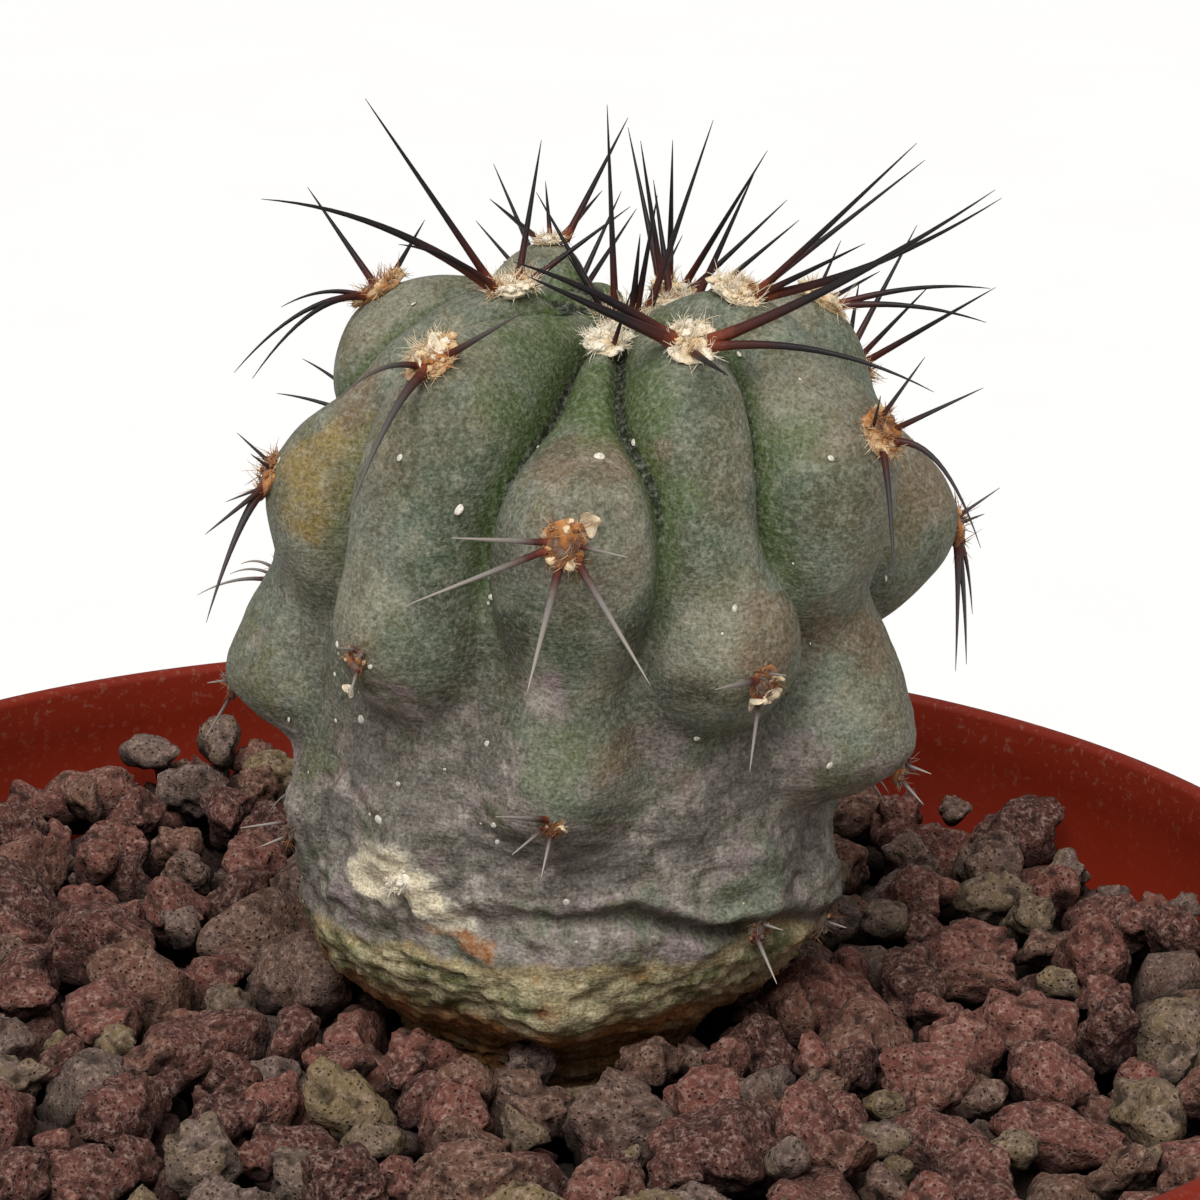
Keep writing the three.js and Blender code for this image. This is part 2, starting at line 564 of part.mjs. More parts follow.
// The spines that stand in one areole of the back, as reaches of their tips
function fanOf({ frame, age }, random) {
  const reaches = [];
  const count = Math.round(mix(...FAN_SPINES, age));
  const length = mix(...FAN_LENGTH, clamp(age * FAN_AGEING, 0, 1));
  for (let i = 0; i < count; i++) {
    const turn = radians(90 + (i - (count - 1) / 2) * FAN_STEP + FAN_SHIFT * (random() - 0.5));
    const spread = mix(...FAN_SPREAD, random());
    const reach = frame.normal.clone()
      .addScaledVector(frame.round, spread * Math.cos(turn))
      .addScaledVector(frame.up, spread * Math.sin(turn) * mix(...FAN_SLOPE, age));
    reach.z += mix(...FAN_LIFT, age);
    reaches.push({ reach: reach.setLength(length * mix(...FAN_SHARES, random())), bow: FAN_BOW * age });
  }
  return reaches;
}

// Crown wool and felt pads take their places before any spine is turned clear of them
const crown = { number: -1, age: 0, way: CROWN_WOOL_PLACE[1], felt: CROWN_WOOL_RADIUS };
crown.frame = frameAt(...CROWN_WOOL_PLACE);
const buds = areoles.filter(({ number, frame }) => number > 2 && frame.point.z > LOWEST_AREOLE_Z);
for (const areole of [crown, ...buds]) {
  areole.felt = areole.felt ?? mix(...FELT_RADIUS, clamp(areole.age * PAD_AGEING, 0, 1));
  const rise = tubercleRise(areole.frame.point, areole.way);
  areole.feltMiddle = areole.frame.point.clone().addScaledVector(areole.frame.normal, rise);
}

function makeAreole(areole, random) {
  const listed = areole === crown ? CROWN_SPINES : SEEN_SPINES[areole.number];
  const reaches = listed
    ? listed.map(([x, toward, z, bow = 0]) => ({ reach: new THREE.Vector3(x, -toward, z), bow }))
    : fanOf(areole, random);
  const solids = [feltSolid(areole, 0)];
  for (const { reach, bow } of reaches) {
    const sideways = reach.clone().addScaledVector(areole.frame.normal, -reach.dot(areole.frame.normal));
    const root = areole.feltMiddle.clone().add(sideways.setLength(areole.felt * SPINE_ROOT_OUT));
    const placed = clearSpine(areole, root, reach.clone().sub(root).add(areole.feltMiddle), bow, random);
    if (!placed) {
      console.warn('no room for a spine at areole', areole.number);
      continue;
    }
    const thin = clamp(reach.length() / THIN_BELOW, THINNEST, 1);
    solids.push(spineSolid(placed, SPINE_RADIUS * thin));
  }
  return wasm.Manifold.union(solids);
}

// Height of the grit's surface without its grains
function gritSurface(x, y) {
  const out = clamp(Math.hypot(x, y) / RIM_RADIUS, 0, 1);
  return GRIT_Z + GRIT_BOWL * out ** 2 - GRIT_TILT * (x / RIM_RADIUS) * out;
}

// A rough lump: a twenty-sided ball with each corner moved, longer one way and turned at random
function grain(middle, radius, random) {
  const ball = new THREE.IcosahedronGeometry(1, 0);
  ball.deleteAttribute('uv');
  ball.deleteAttribute('normal');
  const lump = mergeVertices(ball, 1e-3);
  const place = lump.attributes.position;
  const sides = [GRAIN_LONG, GRAIN_WIDE, GRAIN_HIGH].map((range) => mix(...range, random()));
  const shape = new THREE.Vector3(...sides);
  for (let i = 0; i < place.count; i++) {
    const corner = new THREE.Vector3().fromBufferAttribute(place, i).multiply(shape);
    corner.multiplyScalar(radius * mix(...GRAIN_ROUGH, random()));
    place.setXYZ(i, corner.x, corner.y, corner.z);
  }
  lump.rotateX(GRAIN_TIPPED * (random() - 0.5));
  lump.rotateY(GRAIN_TIPPED * (random() - 0.5));
  lump.rotateZ(2 * Math.PI * random());
  lump.translate(middle.x, middle.y, middle.z);
  return solidOf(lump);
}

function makeGrit() {
  const random = seeded(5);
  const inside = solidOf(lathe([
    [0, floorTopZ + GAP],
    [innerRadius(floorTopZ) - 2 * GAP, floorTopZ + GAP],
    [innerRadius(wallTopZ) - GAP, wallTopZ],
    [RIM_RADIUS - WALL - GAP, wallTopZ + RIM_STEP],
    [RIM_RADIUS - WALL - GAP, POT_HEIGHT],
    [0, POT_HEIGHT],
  ], POT_SIDES));

  // The bed under the grains: the same fill cut off a little below the surface
  const bedSides = POT_SIDES / 2;
  const rings = [];
  for (let j = 1; j <= BED_RINGS; j++) {
    const ring = [];
    const out = ((RIM_RADIUS + BED_PAST_WALL) * j) / BED_RINGS;
    for (let i = 0; i < bedSides; i++) {
      const x = out * Math.cos((i * 2 * Math.PI) / bedSides);
      const y = out * Math.sin((i * 2 * Math.PI) / bedSides);
      ring.push(new THREE.Vector3(x, y, gritSurface(x, y) - BED_SUNK + BED_ROUGH * (random() - 0.5)));
    }
    rings.push(ring);
  }
  rings.push(rings[BED_RINGS - 1].map(({ x, y }) => new THREE.Vector3(x, y, 0)));
  const under = skin(rings, new THREE.Vector3(0, 0, GRIT_Z - BED_SUNK), new THREE.Vector3());
  const bed = inside.intersect(solidOf(under));

  // Grains, spread evenly by the golden angle and then shifted and sized by chance
  const grains = [];
  for (let i = 0; i < GRAINS; i++) {
    const out = (RIM_RADIUS - WALL - GRAIN_EDGE) * Math.sqrt((i + 0.5) / GRAINS);
    const turn = radians(GOLDEN_ANGLE * i);
    const x = out * Math.cos(turn) + GRAIN_SHIFT * (random() - 0.5);
    const y = out * Math.sin(turn) + GRAIN_SHIFT * (random() - 0.5);
    const radius = mix(...GRAIN_RADIUS, random() ** GRAIN_FAVOUR_SMALL);
    const fromFoot = Math.hypot(x - PLANT_X, y - PLANT_Y) - sideAt(groundWay).r;
    if (fromFoot < GRAIN_OFF_STEM * radius) continue;
    const sunk = mix(...GRAIN_SUNK, smoothstep(fromFoot, ...GRAIN_BY_STEM));
    grains.push(grain(new THREE.Vector3(x, y, gritSurface(x, y) - sunk * radius), radius, random));
  }

  const grit = wasm.Manifold.union([bed, ...grains]).intersect(inside).subtract(rootHole());
  return largest(grit.simplify(GRIT_DETAIL));
}

// The plain hole that the root stands in, wider where the stem's foot passes the surface
function rootHole() {
  const rings = [];
  for (let way = groundWay - 2 * HOLE_STEP; way < sideEnd; way += HOLE_STEP) {
    const { r, z, tr, tz } = sideAt(way);
    const wider = 1 - smoothstep(way, groundWay - HOLE_FLARE[0], groundWay + HOLE_FLARE[1]);
    const clear = 2 * GAP + HOLE_WIDER * wider;
    const ring = [];
    for (let i = 0; i < HOLE_SIDES; i++) {
      const turn = (i * 2 * Math.PI) / HOLE_SIDES;
      const out = r - tz * clear;
      ring.push(planted(new THREE.Vector3(out * Math.cos(turn), out * Math.sin(turn), z + tr * clear)));
    }
    rings.push(ring);
  }
  const rootTip = STEM_SIDE[STEM_SIDE.length - 1][1];
  const top = planted(new THREE.Vector3(0, 0, rings[0][0].z - GRIT_Z + PLANT_SUNK + HOLE_MORE));
  return solidOf(skin(rings, top, planted(new THREE.Vector3(0, 0, rootTip - HOLE_MORE))));
}

function makeStem() {
  const pits = [crown, ...buds].map((bud) => feltSolid(bud, GAP));
  return largest(makeStemBody().subtract(wasm.Manifold.union(pits)));
}

const plastic = new THREE.MeshStandardMaterial({ color: 0x9a4630, roughness: 0.6 });
const lava = new THREE.MeshStandardMaterial({ color: 0x6e4c44, roughness: 1 });
const epidermis = new THREE.MeshStandardMaterial({ color: 0x74796a, roughness: 0.8 });
const wool = new THREE.MeshStandardMaterial({ color: 0xd8c29a, roughness: 1 });
const felt = new THREE.MeshStandardMaterial({ color: 0x8a5a38, roughness: 1 });

function meshOf(name, solid, material) {
  const mesh = new THREE.Mesh(geometryOf(solid), material);
  mesh.name = name;
  return mesh;
}

const plant = new THREE.Group();
plant.name = 'potted_copiapoa_hybrid';
plant.add(meshOf('pot', makePot(), plastic));
plant.add(meshOf('lava_grit', makeGrit(), lava));
plant.add(meshOf('stem', makeStem(), epidermis));
const random = seeded(11);
plant.add(meshOf('crown_wool', makeAreole(crown, random), wool));
for (const bud of buds) {
  const name = `areole_${String(bud.number).padStart(2, '0')}`;
  plant.add(meshOf(name, makeAreole(bud, random), bud.age < WOOL_UNTIL ? wool : felt));
}
export default plant;
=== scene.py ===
import math

import bmesh
import bpy
import numpy as np
from mathutils import Matrix, Vector


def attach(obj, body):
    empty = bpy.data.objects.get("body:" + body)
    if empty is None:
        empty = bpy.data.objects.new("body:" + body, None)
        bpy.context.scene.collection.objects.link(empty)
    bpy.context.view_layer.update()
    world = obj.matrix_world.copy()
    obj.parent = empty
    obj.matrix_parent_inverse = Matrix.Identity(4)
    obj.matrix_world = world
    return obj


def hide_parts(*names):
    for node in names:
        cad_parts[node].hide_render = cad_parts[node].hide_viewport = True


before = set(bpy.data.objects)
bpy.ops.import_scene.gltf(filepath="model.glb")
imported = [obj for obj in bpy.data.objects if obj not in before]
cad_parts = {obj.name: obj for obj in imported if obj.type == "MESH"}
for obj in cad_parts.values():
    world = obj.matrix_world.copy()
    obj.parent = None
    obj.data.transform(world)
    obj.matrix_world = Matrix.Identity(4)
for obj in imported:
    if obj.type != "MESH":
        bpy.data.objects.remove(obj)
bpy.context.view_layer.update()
millimetre = 0.001      # in Blender's metres
print("frame loaded:", len(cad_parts), "nodes")


# small tools

def mix(a, b, share):
    return a + (b - a) * share


def smooth(value, low, high):
    share = np.clip((value - low) / (high - low), 0, 1)
    return share * share * (3 - 2 * share)


def linear(hexCode, alpha=1.0):
    parts = [int(hexCode[i:i + 2], 16) / 255 for i in (1, 3, 5)]
    return tuple(p / 12.92 if p <= 0.04045 else ((p + 0.055) / 1.055) ** 2.4 for p in parts) + (alpha,)


def seeded(seed):
    state = [seed]

    def draw():
        state[0] = (state[0] * 1664525 + 1013904223) % 4294967296
        return state[0] / 4294967296
    return draw


def lumps(points, size, seed=0):
    # smooth noise between about -1 and 1, with lumps of the given size in mm
    p = np.asarray(points) / size + 31.7 * (seed + 1)
    cell = np.floor(p).astype(np.int64)
    part = p - cell
    fade = part ** 3 * (part * (part * 6 - 15) + 10)
    total = np.zeros(len(p))
    for corner in np.ndindex(2, 2, 2):
        at = cell + corner
        mixed = (at[:, 0] * 73856093) ^ (at[:, 1] * 19349663) ^ (at[:, 2] * 83492791) ^ (seed * 2654435)
        mixed = (mixed * 1103515245 + 12345) & 0x7fffffff
        mixed = (mixed ^ (mixed >> 11)) * 48271 & 0x7fffffff
        slope = np.stack([mixed & 1023, (mixed >> 10) & 1023, (mixed >> 20) & 1023], 1) / 511.5 - 1
        weight = np.prod(np.where(corner, fade, 1 - fade), 1)
        total += weight * np.sum(slope * (part - corner), 1)
    return total * 1.5


def newPiece(name, points, faces, materials, faceMaterial=None):
    # points in mm; faces is a list of index arrays, of triangles or of four-sided faces
    mesh = bpy.data.meshes.new(name)
    mesh.vertices.add(len(points))
    mesh.vertices.foreach_set("co", (np.asarray(points) * millimetre).astype(np.float32).ravel())
    corners = np.concatenate([f.ravel() for f in faces]).astype(np.int32)
    sizes = np.concatenate([np.full(len(f), f.shape[1]) for f in faces]).astype(np.int32)
    mesh.loops.add(len(corners))
    mesh.loops.foreach_set("vertex_index", corners)
    mesh.polygons.add(len(sizes))
    mesh.polygons.foreach_set("loop_start", np.concatenate([[0], np.cumsum(sizes)[:-1]]).astype(np.int32))
    mesh.polygons.foreach_set("use_smooth", np.ones(len(sizes), bool))
    for material in materials:
        mesh.materials.append(material)
    if faceMaterial is not None:
        mesh.polygons.foreach_set("material_index", faceMaterial.astype(np.int32))
    mesh.update(calc_edges=True)
    mesh.validate()
    piece = bpy.data.objects.new(name, mesh)
    bpy.context.scene.collection.objects.link(piece)
    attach(piece, "root")
    return piece


def paint(piece, name, values):
    layer = piece.data.attributes.new(name, "FLOAT", "POINT")
    layer.data.foreach_set("value", np.asarray(values).astype(np.float32))


def ringFaces(rings, around):
    # four-sided faces between rings of points, outward where the rings go down
    # and their points go round to the left
    here = np.arange(rings - 1)[:, None] * around + np.arange(around)[None, :]
    after = np.arange(rings - 1)[:, None] * around + (np.arange(around)[None, :] + 1) % around
    return np.stack([here, here + around, after + around, after], -1).reshape(-1, 4)


def closedRings(rings, around):
    # the faces between rings, and fans that close both ends round two points that follow those of the rings
    first, last = np.arange(around), (rings - 1) * around + np.arange(around)
    fans = [np.stack([np.full(around, rings * around), first, np.roll(first, -1)], 1),
            np.stack([np.full(around, rings * around + 1), np.roll(last, -1), last], 1)]
    return [ringFaces(rings, around), np.vstack(fans)]


def ball(level):
    # a round ball of triangles, as unit directions and faces
    made = bmesh.new()
    bmesh.ops.create_icosphere(made, subdivisions=level, radius=1)
    made.verts.ensure_lookup_table()
    points = np.array([v.co for v in made.verts])
    faces = np.array([[v.index for v in f.verts] for f in made.faces])
    made.free()
    return points / np.linalg.norm(points, axis=1, keepdims=True), faces


def fill(tree, node, inputs):
    # an input takes a link from a socket or from a node's first output, or else a value
    for key, value in inputs.items():
        if isinstance(value, bpy.types.Node):
            value = value.outputs[0]
        if isinstance(value, bpy.types.NodeSocket):
            tree.links.new(value, node.inputs[key])
        else:
            node.inputs[key].default_value = value


def addNode(tree, kind, inputs=None, stops=None, **settings):
    node = tree.nodes.new(kind)
    for key, value in settings.items():
        setattr(node, key, value)
    fill(tree, node, inputs or {})
    if stops:
        ramp = node.color_ramp
        while len(ramp.elements) < len(stops):
            ramp.elements.new(0.5)
        for element, (place, colour) in zip(ramp.elements, stops):
            element.position = place
            element.color = linear(colour) if isinstance(colour, str) else (colour, colour, colour, 1)
    return node


def newMaterial(name):
    material = bpy.data.materials.new(name)
    material.use_nodes = True
    tree = material.node_tree
    shader = tree.nodes["Principled BSDF"]
    metres = addNode(tree, "ShaderNodeTexCoord").outputs["Object"]
    place = addNode(tree, "ShaderNodeVectorMath", {0: metres, 3: 1 / millimetre}, operation="SCALE")
    return material, tree, shader, place


# where the plant stands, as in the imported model

plantPlace = {"gritZ": 70.5, "sunk": 1.5, "x": 2.65, "y": 6, "lean": 0.066}
footZ = plantPlace["gritZ"] - plantPlace["sunk"]


def planted(points):
    points = np.asarray(points, float)
    x = points[..., 0] + plantPlace["x"] + plantPlace["lean"] * np.maximum(points[..., 2], 0)
    return np.stack([x, points[..., 1] + plantPlace["y"], points[..., 2] + footZ], -1)


# stem: a smooth side with tubercles in eleven columns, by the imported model's own formula

stemForm = {
    "side": [           # radius and height above the foot, from the crown to the root's tip
        (0, 37), (3.2, 37.3), (6.2, 37), (8.9, 35.8), (11.3, 33.5), (13.3, 30.4), (14.5, 26.6), (14.9, 22.2),
        (14.7, 17.4), (14.5, 13), (14.6, 9.4), (14.3, 6.6), (13.1, 4.4), (11, 2.4), (9, 0.8), (7.8, -1.2),
        (6.4, -6), (4.4, -13), (2.4, -18.4), (0, -20)],
    "samples": 720,
    "height": 4.4,
    "shrinking": (15, 38, 0.8),
    "bendAcross": 4.4,
    "slopeUp": 0.56,
    "roundUp": 2.2,
    "bendDown": (15, 6, 3),
    "taper": 0.075,
    "steeper": (0.55, 0.15, 4),
    "above": (-2, 1.7),
    "columnSoftness": 1.1,
    "creaseSoftness": (0.16, 0.6),
    "noseHeight": 0.7,
    "noseRadius": 2.6,
    "footBlend": (4, 1),
    "turn": -65.45,
    "start": -38.8,
    "columns": 11,
    "drop": 1.1,
    "lastAreole": 40,
    "lowestAreole": 4.5,
    "seenPlaces": {     # azimuth and way down the side from the crown
        2: (-165, 3), 3: (128, 4.6), 4: (54, 6.6), 5: (-2, 5.7), 6: (-76, 5.2), 7: (-155, 6.8), 9: (106, 9.3),
        10: (22, 8.5), 11: (-41, 10.4), 12: (-104, 9.9), 15: (56, 14), 16: (-5, 16.6), 17: (-83, 17.5),
        20: (96, 20.5), 21: (31, 23), 22: (-40.5, 22.8), 26: (67, 30), 27: (-3, 30.2), 28: (-94, 29),
        32: (43.5, 38), 33: (-35, 35.2), 37: (72, 40), 38: (0, 44.5), 39: (-74, 35.5)},
    "seenHeights": {    # how much taller or lower than the others these tubercles are
        2: -0.4, 3: -1.8, 4: 0.7, 5: -1.5, 7: 0.5, 8: -1.9, 9: -0.1, 10: 0.2, 11: 0.8, 12: 0.4, 15: 0.8,
        17: -0.7, 20: 1.1, 21: -0.5, 22: -0.5, 26: 2.4, 27: 0.2, 28: 2, 33: -0.4},
    "seenChins": {9: 4, 12: 2.4, 16: 9, 17: 9, 20: 4.2, 21: 5, 22: 5, 26: 2, 27: 5, 28: 2.4},
    "seenNecks": {12: 0.4, 16: 0.8, 17: 0.75, 20: 0.7, 27: 0.36},
    "seenWidths": {5: 0.5, 16: 1.15},
    "seenTurns": {5: 1, 16: 2.2},
}


def sampleSide():
    # centripetal curve through the side's corners, with the way down it from the crown at each sample
    corners = np.array(stemForm["side"], float)
    ends = np.vstack([2 * corners[0] - corners[1], corners, 2 * corners[-1] - corners[-2]])
    count = stemForm["samples"]
    points, slopes = [], []
    for i in range(count + 1):
        place = (len(corners) - 1) * i / count
        k = min(int(place), len(corners) - 2)
        t = place - k
        p0, p1, p2, p3 = ends[k:k + 4]
        d0, d1, d2 = (np.sum((b - a) ** 2) ** 0.25 for a, b in ((p0, p1), (p1, p2), (p2, p3)))
        t1 = ((p1 - p0) / d0 - (p2 - p0) / (d0 + d1) + (p2 - p1) / d1) * d1
        t2 = ((p2 - p1) / d1 - (p3 - p1) / (d1 + d2) + (p3 - p2) / d2) * d1
        c2 = -3 * p1 + 3 * p2 - 2 * t1 - t2
        c3 = 2 * p1 - 2 * p2 + t1 + t2
        points.append(p1 + t1 * t + c2 * t * t + c3 * t ** 3)
        slope = t1 + 2 * c2 * t + 3 * c3 * t * t
        slopes.append(slope / np.linalg.norm(slope))
    points, slopes = np.array(points), np.array(slopes)
    way = np.concatenate([[0], np.cumsum(np.linalg.norm(np.diff(points, axis=0), axis=1))])
    return {"way": way, "r": np.maximum(points[:, 0], 0), "z": points[:, 1],
            "tr": slopes[:, 0], "tz": slopes[:, 1]}


side = sampleSide()
sideEnd = side["way"][-1]
groundWay = side["way"][np.argmax(side["z"] < 0)]


def sideAt(way, key):
    return np.interp(way, side["way"], side[key])


def wayAt(height):
    top = int(np.argmax(side["z"]))
    return np.interp(-np.asarray(height, float), -side["z"][top:], side["way"][top:])


def frameAt(azimuth, way):
    # a place on the smooth side and its directions: out of it, up it and round it
    a = np.radians(np.asarray(azimuth, float))
    way = np.asarray(way, float)
    r, z, tr, tz = (sideAt(way, key) for key in ("r", "z", "tr", "tz"))
    zero = np.zeros_like(a + way)
    outward = np.stack([np.sin(a) + zero, -np.cos(a) + zero, zero], -1)
    around = np.stack([np.cos(a) + zero, np.sin(a) + zero, zero], -1)
    upright = np.stack([zero, zero, zero + 1], -1)
    point = outward * r[..., None] + upright * z[..., None]
    up = -outward * tr[..., None] - upright * tz[..., None]
    up /= np.linalg.norm(up, axis=-1, keepdims=True)
    normal = np.cross(around, up)
    normal /= np.linalg.norm(normal, axis=-1, keepdims=True)
    return {"point": point, "normal": normal, "up": up, "round": around}


def placeAreoles():
    found = []
    form = stemForm
    shrinksFrom, shrinksTo, shrinks = form["shrinking"]
    youngChin, grownChin, oldChin = form["bendDown"]
    for number in range(form["lastAreole"] + 1):
        azimuth = form["start"] + number * form["turn"]
        azimuth -= 360 * math.floor(azimuth / 360 + 0.5)
        if azimuth < 0:
            azimuth += 6.5 * math.sin(math.radians(azimuth))
        azimuth, way = form["seenPlaces"].get(number, (azimuth, number * form["drop"] - 0.6))
        grown = float(smooth(way, 7, 17))
        height = form["height"] * smooth(way, -9, 10) * (1 - shrinks * smooth(way, shrinksFrom, shrinksTo))
        old = float(smooth(way, 18, 28))
        chin = mix(mix(youngChin, grownChin, grown), oldChin, old)
        middleWay = max(way - mix(*form["above"], grown), 0)
        found.append({
            "number": number, "way": way,
            "height": float(height) + form["seenHeights"].get(number, 0),
            "age": min(max((way - 6) / 27, 0), 1),
            "size": min(max(float(sideAt(way, "r")) / 14.5, 0.45), 1),
            "middle": frameAt(azimuth + form["seenTurns"].get(number, 0), middleWay),
            "bendDown": form["seenChins"].get(number, chin),
            "slopeUp": form["seenNecks"].get(number, form["slopeUp"]),
            "width": form["seenWidths"].get(number, 1),
            "steeper": mix(form["steeper"][0], form["steeper"][1], old),
            "frame": frameAt(azimuth, way),
            "felt": 0,
        })
    return found


areoles = placeAreoles()


def tubercleRise(points, way, parts=False):
    # how high the tubercles stand over the smooth side; with parts also how near a crease between columns is
    columns = np.zeros((stemForm["columns"], len(points)))
    for areole in areoles:
        middle = areole["middle"]
        apart = points - middle["point"]
        distance = np.linalg.norm(apart, axis=1)
        across = apart @ middle["round"]
        up = apart @ middle["up"]
        stretch = distance / np.maximum(np.hypot(across, up), 1e-6)
        across, up = across * stretch, up * stretch
        near = np.exp(-np.sum((points - areole["frame"]["point"]) ** 2, 1) / stemForm["noseRadius"] ** 2)
        narrower = np.clip(1 - stemForm["taper"] * up, 0.4, 1.15)
        bend = stemForm["bendAcross"] * areole["size"] * areole["width"] * narrower
        neck = areole["slopeUp"] * (np.hypot(up, stemForm["roundUp"]) - stemForm["roundUp"])
        sideways = across ** 2 / (2 * bend) * (1 + areole["steeper"] * (across / stemForm["steeper"][2]) ** 2)
        fall = sideways + np.where(up > 0, neck, up ** 2 / (2 * areole["bendDown"]))
        rise = areole["height"] * (1 + stemForm["noseHeight"] * near / stemForm["height"]) - fall
        columns[areole["number"] % stemForm["columns"]] += np.where(
            distance > 15, 0, np.exp(rise / stemForm["columnSoftness"]))
    crease = mix(*stemForm["creaseSoftness"], smooth(way, 12, 32))
    rise = crease * np.log(1 + np.sum(columns ** (stemForm["columnSoftness"] / crease), 0))
    if not parts:
        return rise
    order = np.sort(columns, 0)
    gap = stemForm["columnSoftness"] * (np.log(order[-1] + 1) - np.log(order[-2] + 1))
    return rise, np.exp(-gap / 0.9)


def outsideStem(points):
    azimuth = np.degrees(np.arctan2(points[:, 0], -points[:, 1]))
    r = np.hypot(points[:, 0], points[:, 1])
    near = (r[:, None] - side["r"][::3]) ** 2 + (points[:, 2, None] - side["z"][::3]) ** 2
    way = side["way"][::3][np.argmin(near, 1)]
    place = frameAt(azimuth, way)
    outward = np.sum((points - place["point"]) * place["normal"], axis=-1)
    return outward - tubercleRise(place["point"], way)


print("side and areoles placed")


# waxy skin of the stem

skinLook = {
    "ground": "#77786a",
    "roughness": 0.7,
    # colours over the ground, from the bottom up: the painted mask that each keeps to, the size of its
    # patches in mm, how ragged they make the mask's edge, where mask and patches together begin to show
    # and are full, and how strongly they show
    "layers": [
        ("", 4.4, 1.0, 0.42, 0.6, 0.7, "#65725f"),           # blue-green
        ("", 3.0, 1.0, 0.48, 0.62, 0.75, "#6e6a49"),         # olive
        ("cool", 2.2, 0.9, 0.55, 1.3, 0.9, "#4f5b45"),       # dark grey-green
        ("pale", 2.4, 0.9, 0.7, 1.4, 0.6, "#958f79"),        # grey bloom
        ("ochre", 1.6, 0.9, 0.6, 1.3, 0.75, "#94793a"),
        ("flush", 3.4, 1.2, 0.8, 1.5, 0.75, "#7c644c"),      # brown where the light has hardened it
        ("purple", 1.9, 1.4, 0.85, 1.4, 0.9, "#a28b8e"),     # lilac
        ("purple", 2.2, 1.5, 1.1, 1.45, 0.85, "#696650"),    # grey-green between it
        ("purple", 1.1, 1.5, 1.15, 1.5, 0.75, "#b9aea6"),    # and whitish bloom
        ("", 1.3, 1.0, 0.5, 0.66, 0.4, "#a8a38e"),           # thick pale wax
        ("", 2.6, 1.0, 0.5, 0.66, 0.5, "#49452f"),           # wax rubbed off
        ("purple", 0.9, 1.5, 1.3, 1.55, 0.6, "#48423c"),     # broken by dark pits
        # painted shade: darker in the hollows between tubercles, along the side creases and under the fold,
        # and in the listed dim spots
        ("dim", 1.6, 0.5, 0.3, 1.4, 0.7, "#3f392e"),
        ("fresh", 5.0, 0.3, 0.15, 0.75, 0.6, "#5a6941"),     # green towards the creases
        ("fresh", 1.8, 0.35, 0.5, 1.15, 0.85, "#4a5d29"),
        # painted shade: near black along the bottoms of the creases between young columns
        ("deep", 1.0, 0.2, 0.3, 0.95, 0.95, "#141c08"),
        ("cork", 0.9, 0.8, 0.6, 1.15, 1.0, "#a18e65"),
        ("cork", 0.42, 1.3, 1.4, 1.75, 0.85, "#d8cba2"),     # pale scales on the cork
        ("cork", 1.6, 1.3, 1.55, 1.8, 0.9, "#626637"),       # and moss in its cracks
        ("rust", 1.1, 0.9, 0.75, 1.35, 0.9, "#a8672c"),
        ("scar", 1.0, 1.2, 0.85, 1.35, 0.95, "#cfc6b2"),
        ("scar", 0.7, 1.1, 1.25, 1.55, 1.0, "#f8e9c9"),
    ],
    # wax granules are about 0.05 mm, drawn coarser so that they show
    "granule": 0.17,
    "granuleDark": "#b9b7b0",
    "dust": "#d2d0bf",
    "dustShare": 0.28,
    "dustSize": 0.3,
    "mottle": 1.1,
    "wrinkle": 0.5,         # fine lines round the stem, this much thinner up it
    "thinner": 2.6,
    "wrinkleShare": 0.6,
    "granuleShare": 0.35,
    "bump": 0.45,
    "specular": 0.28,
}


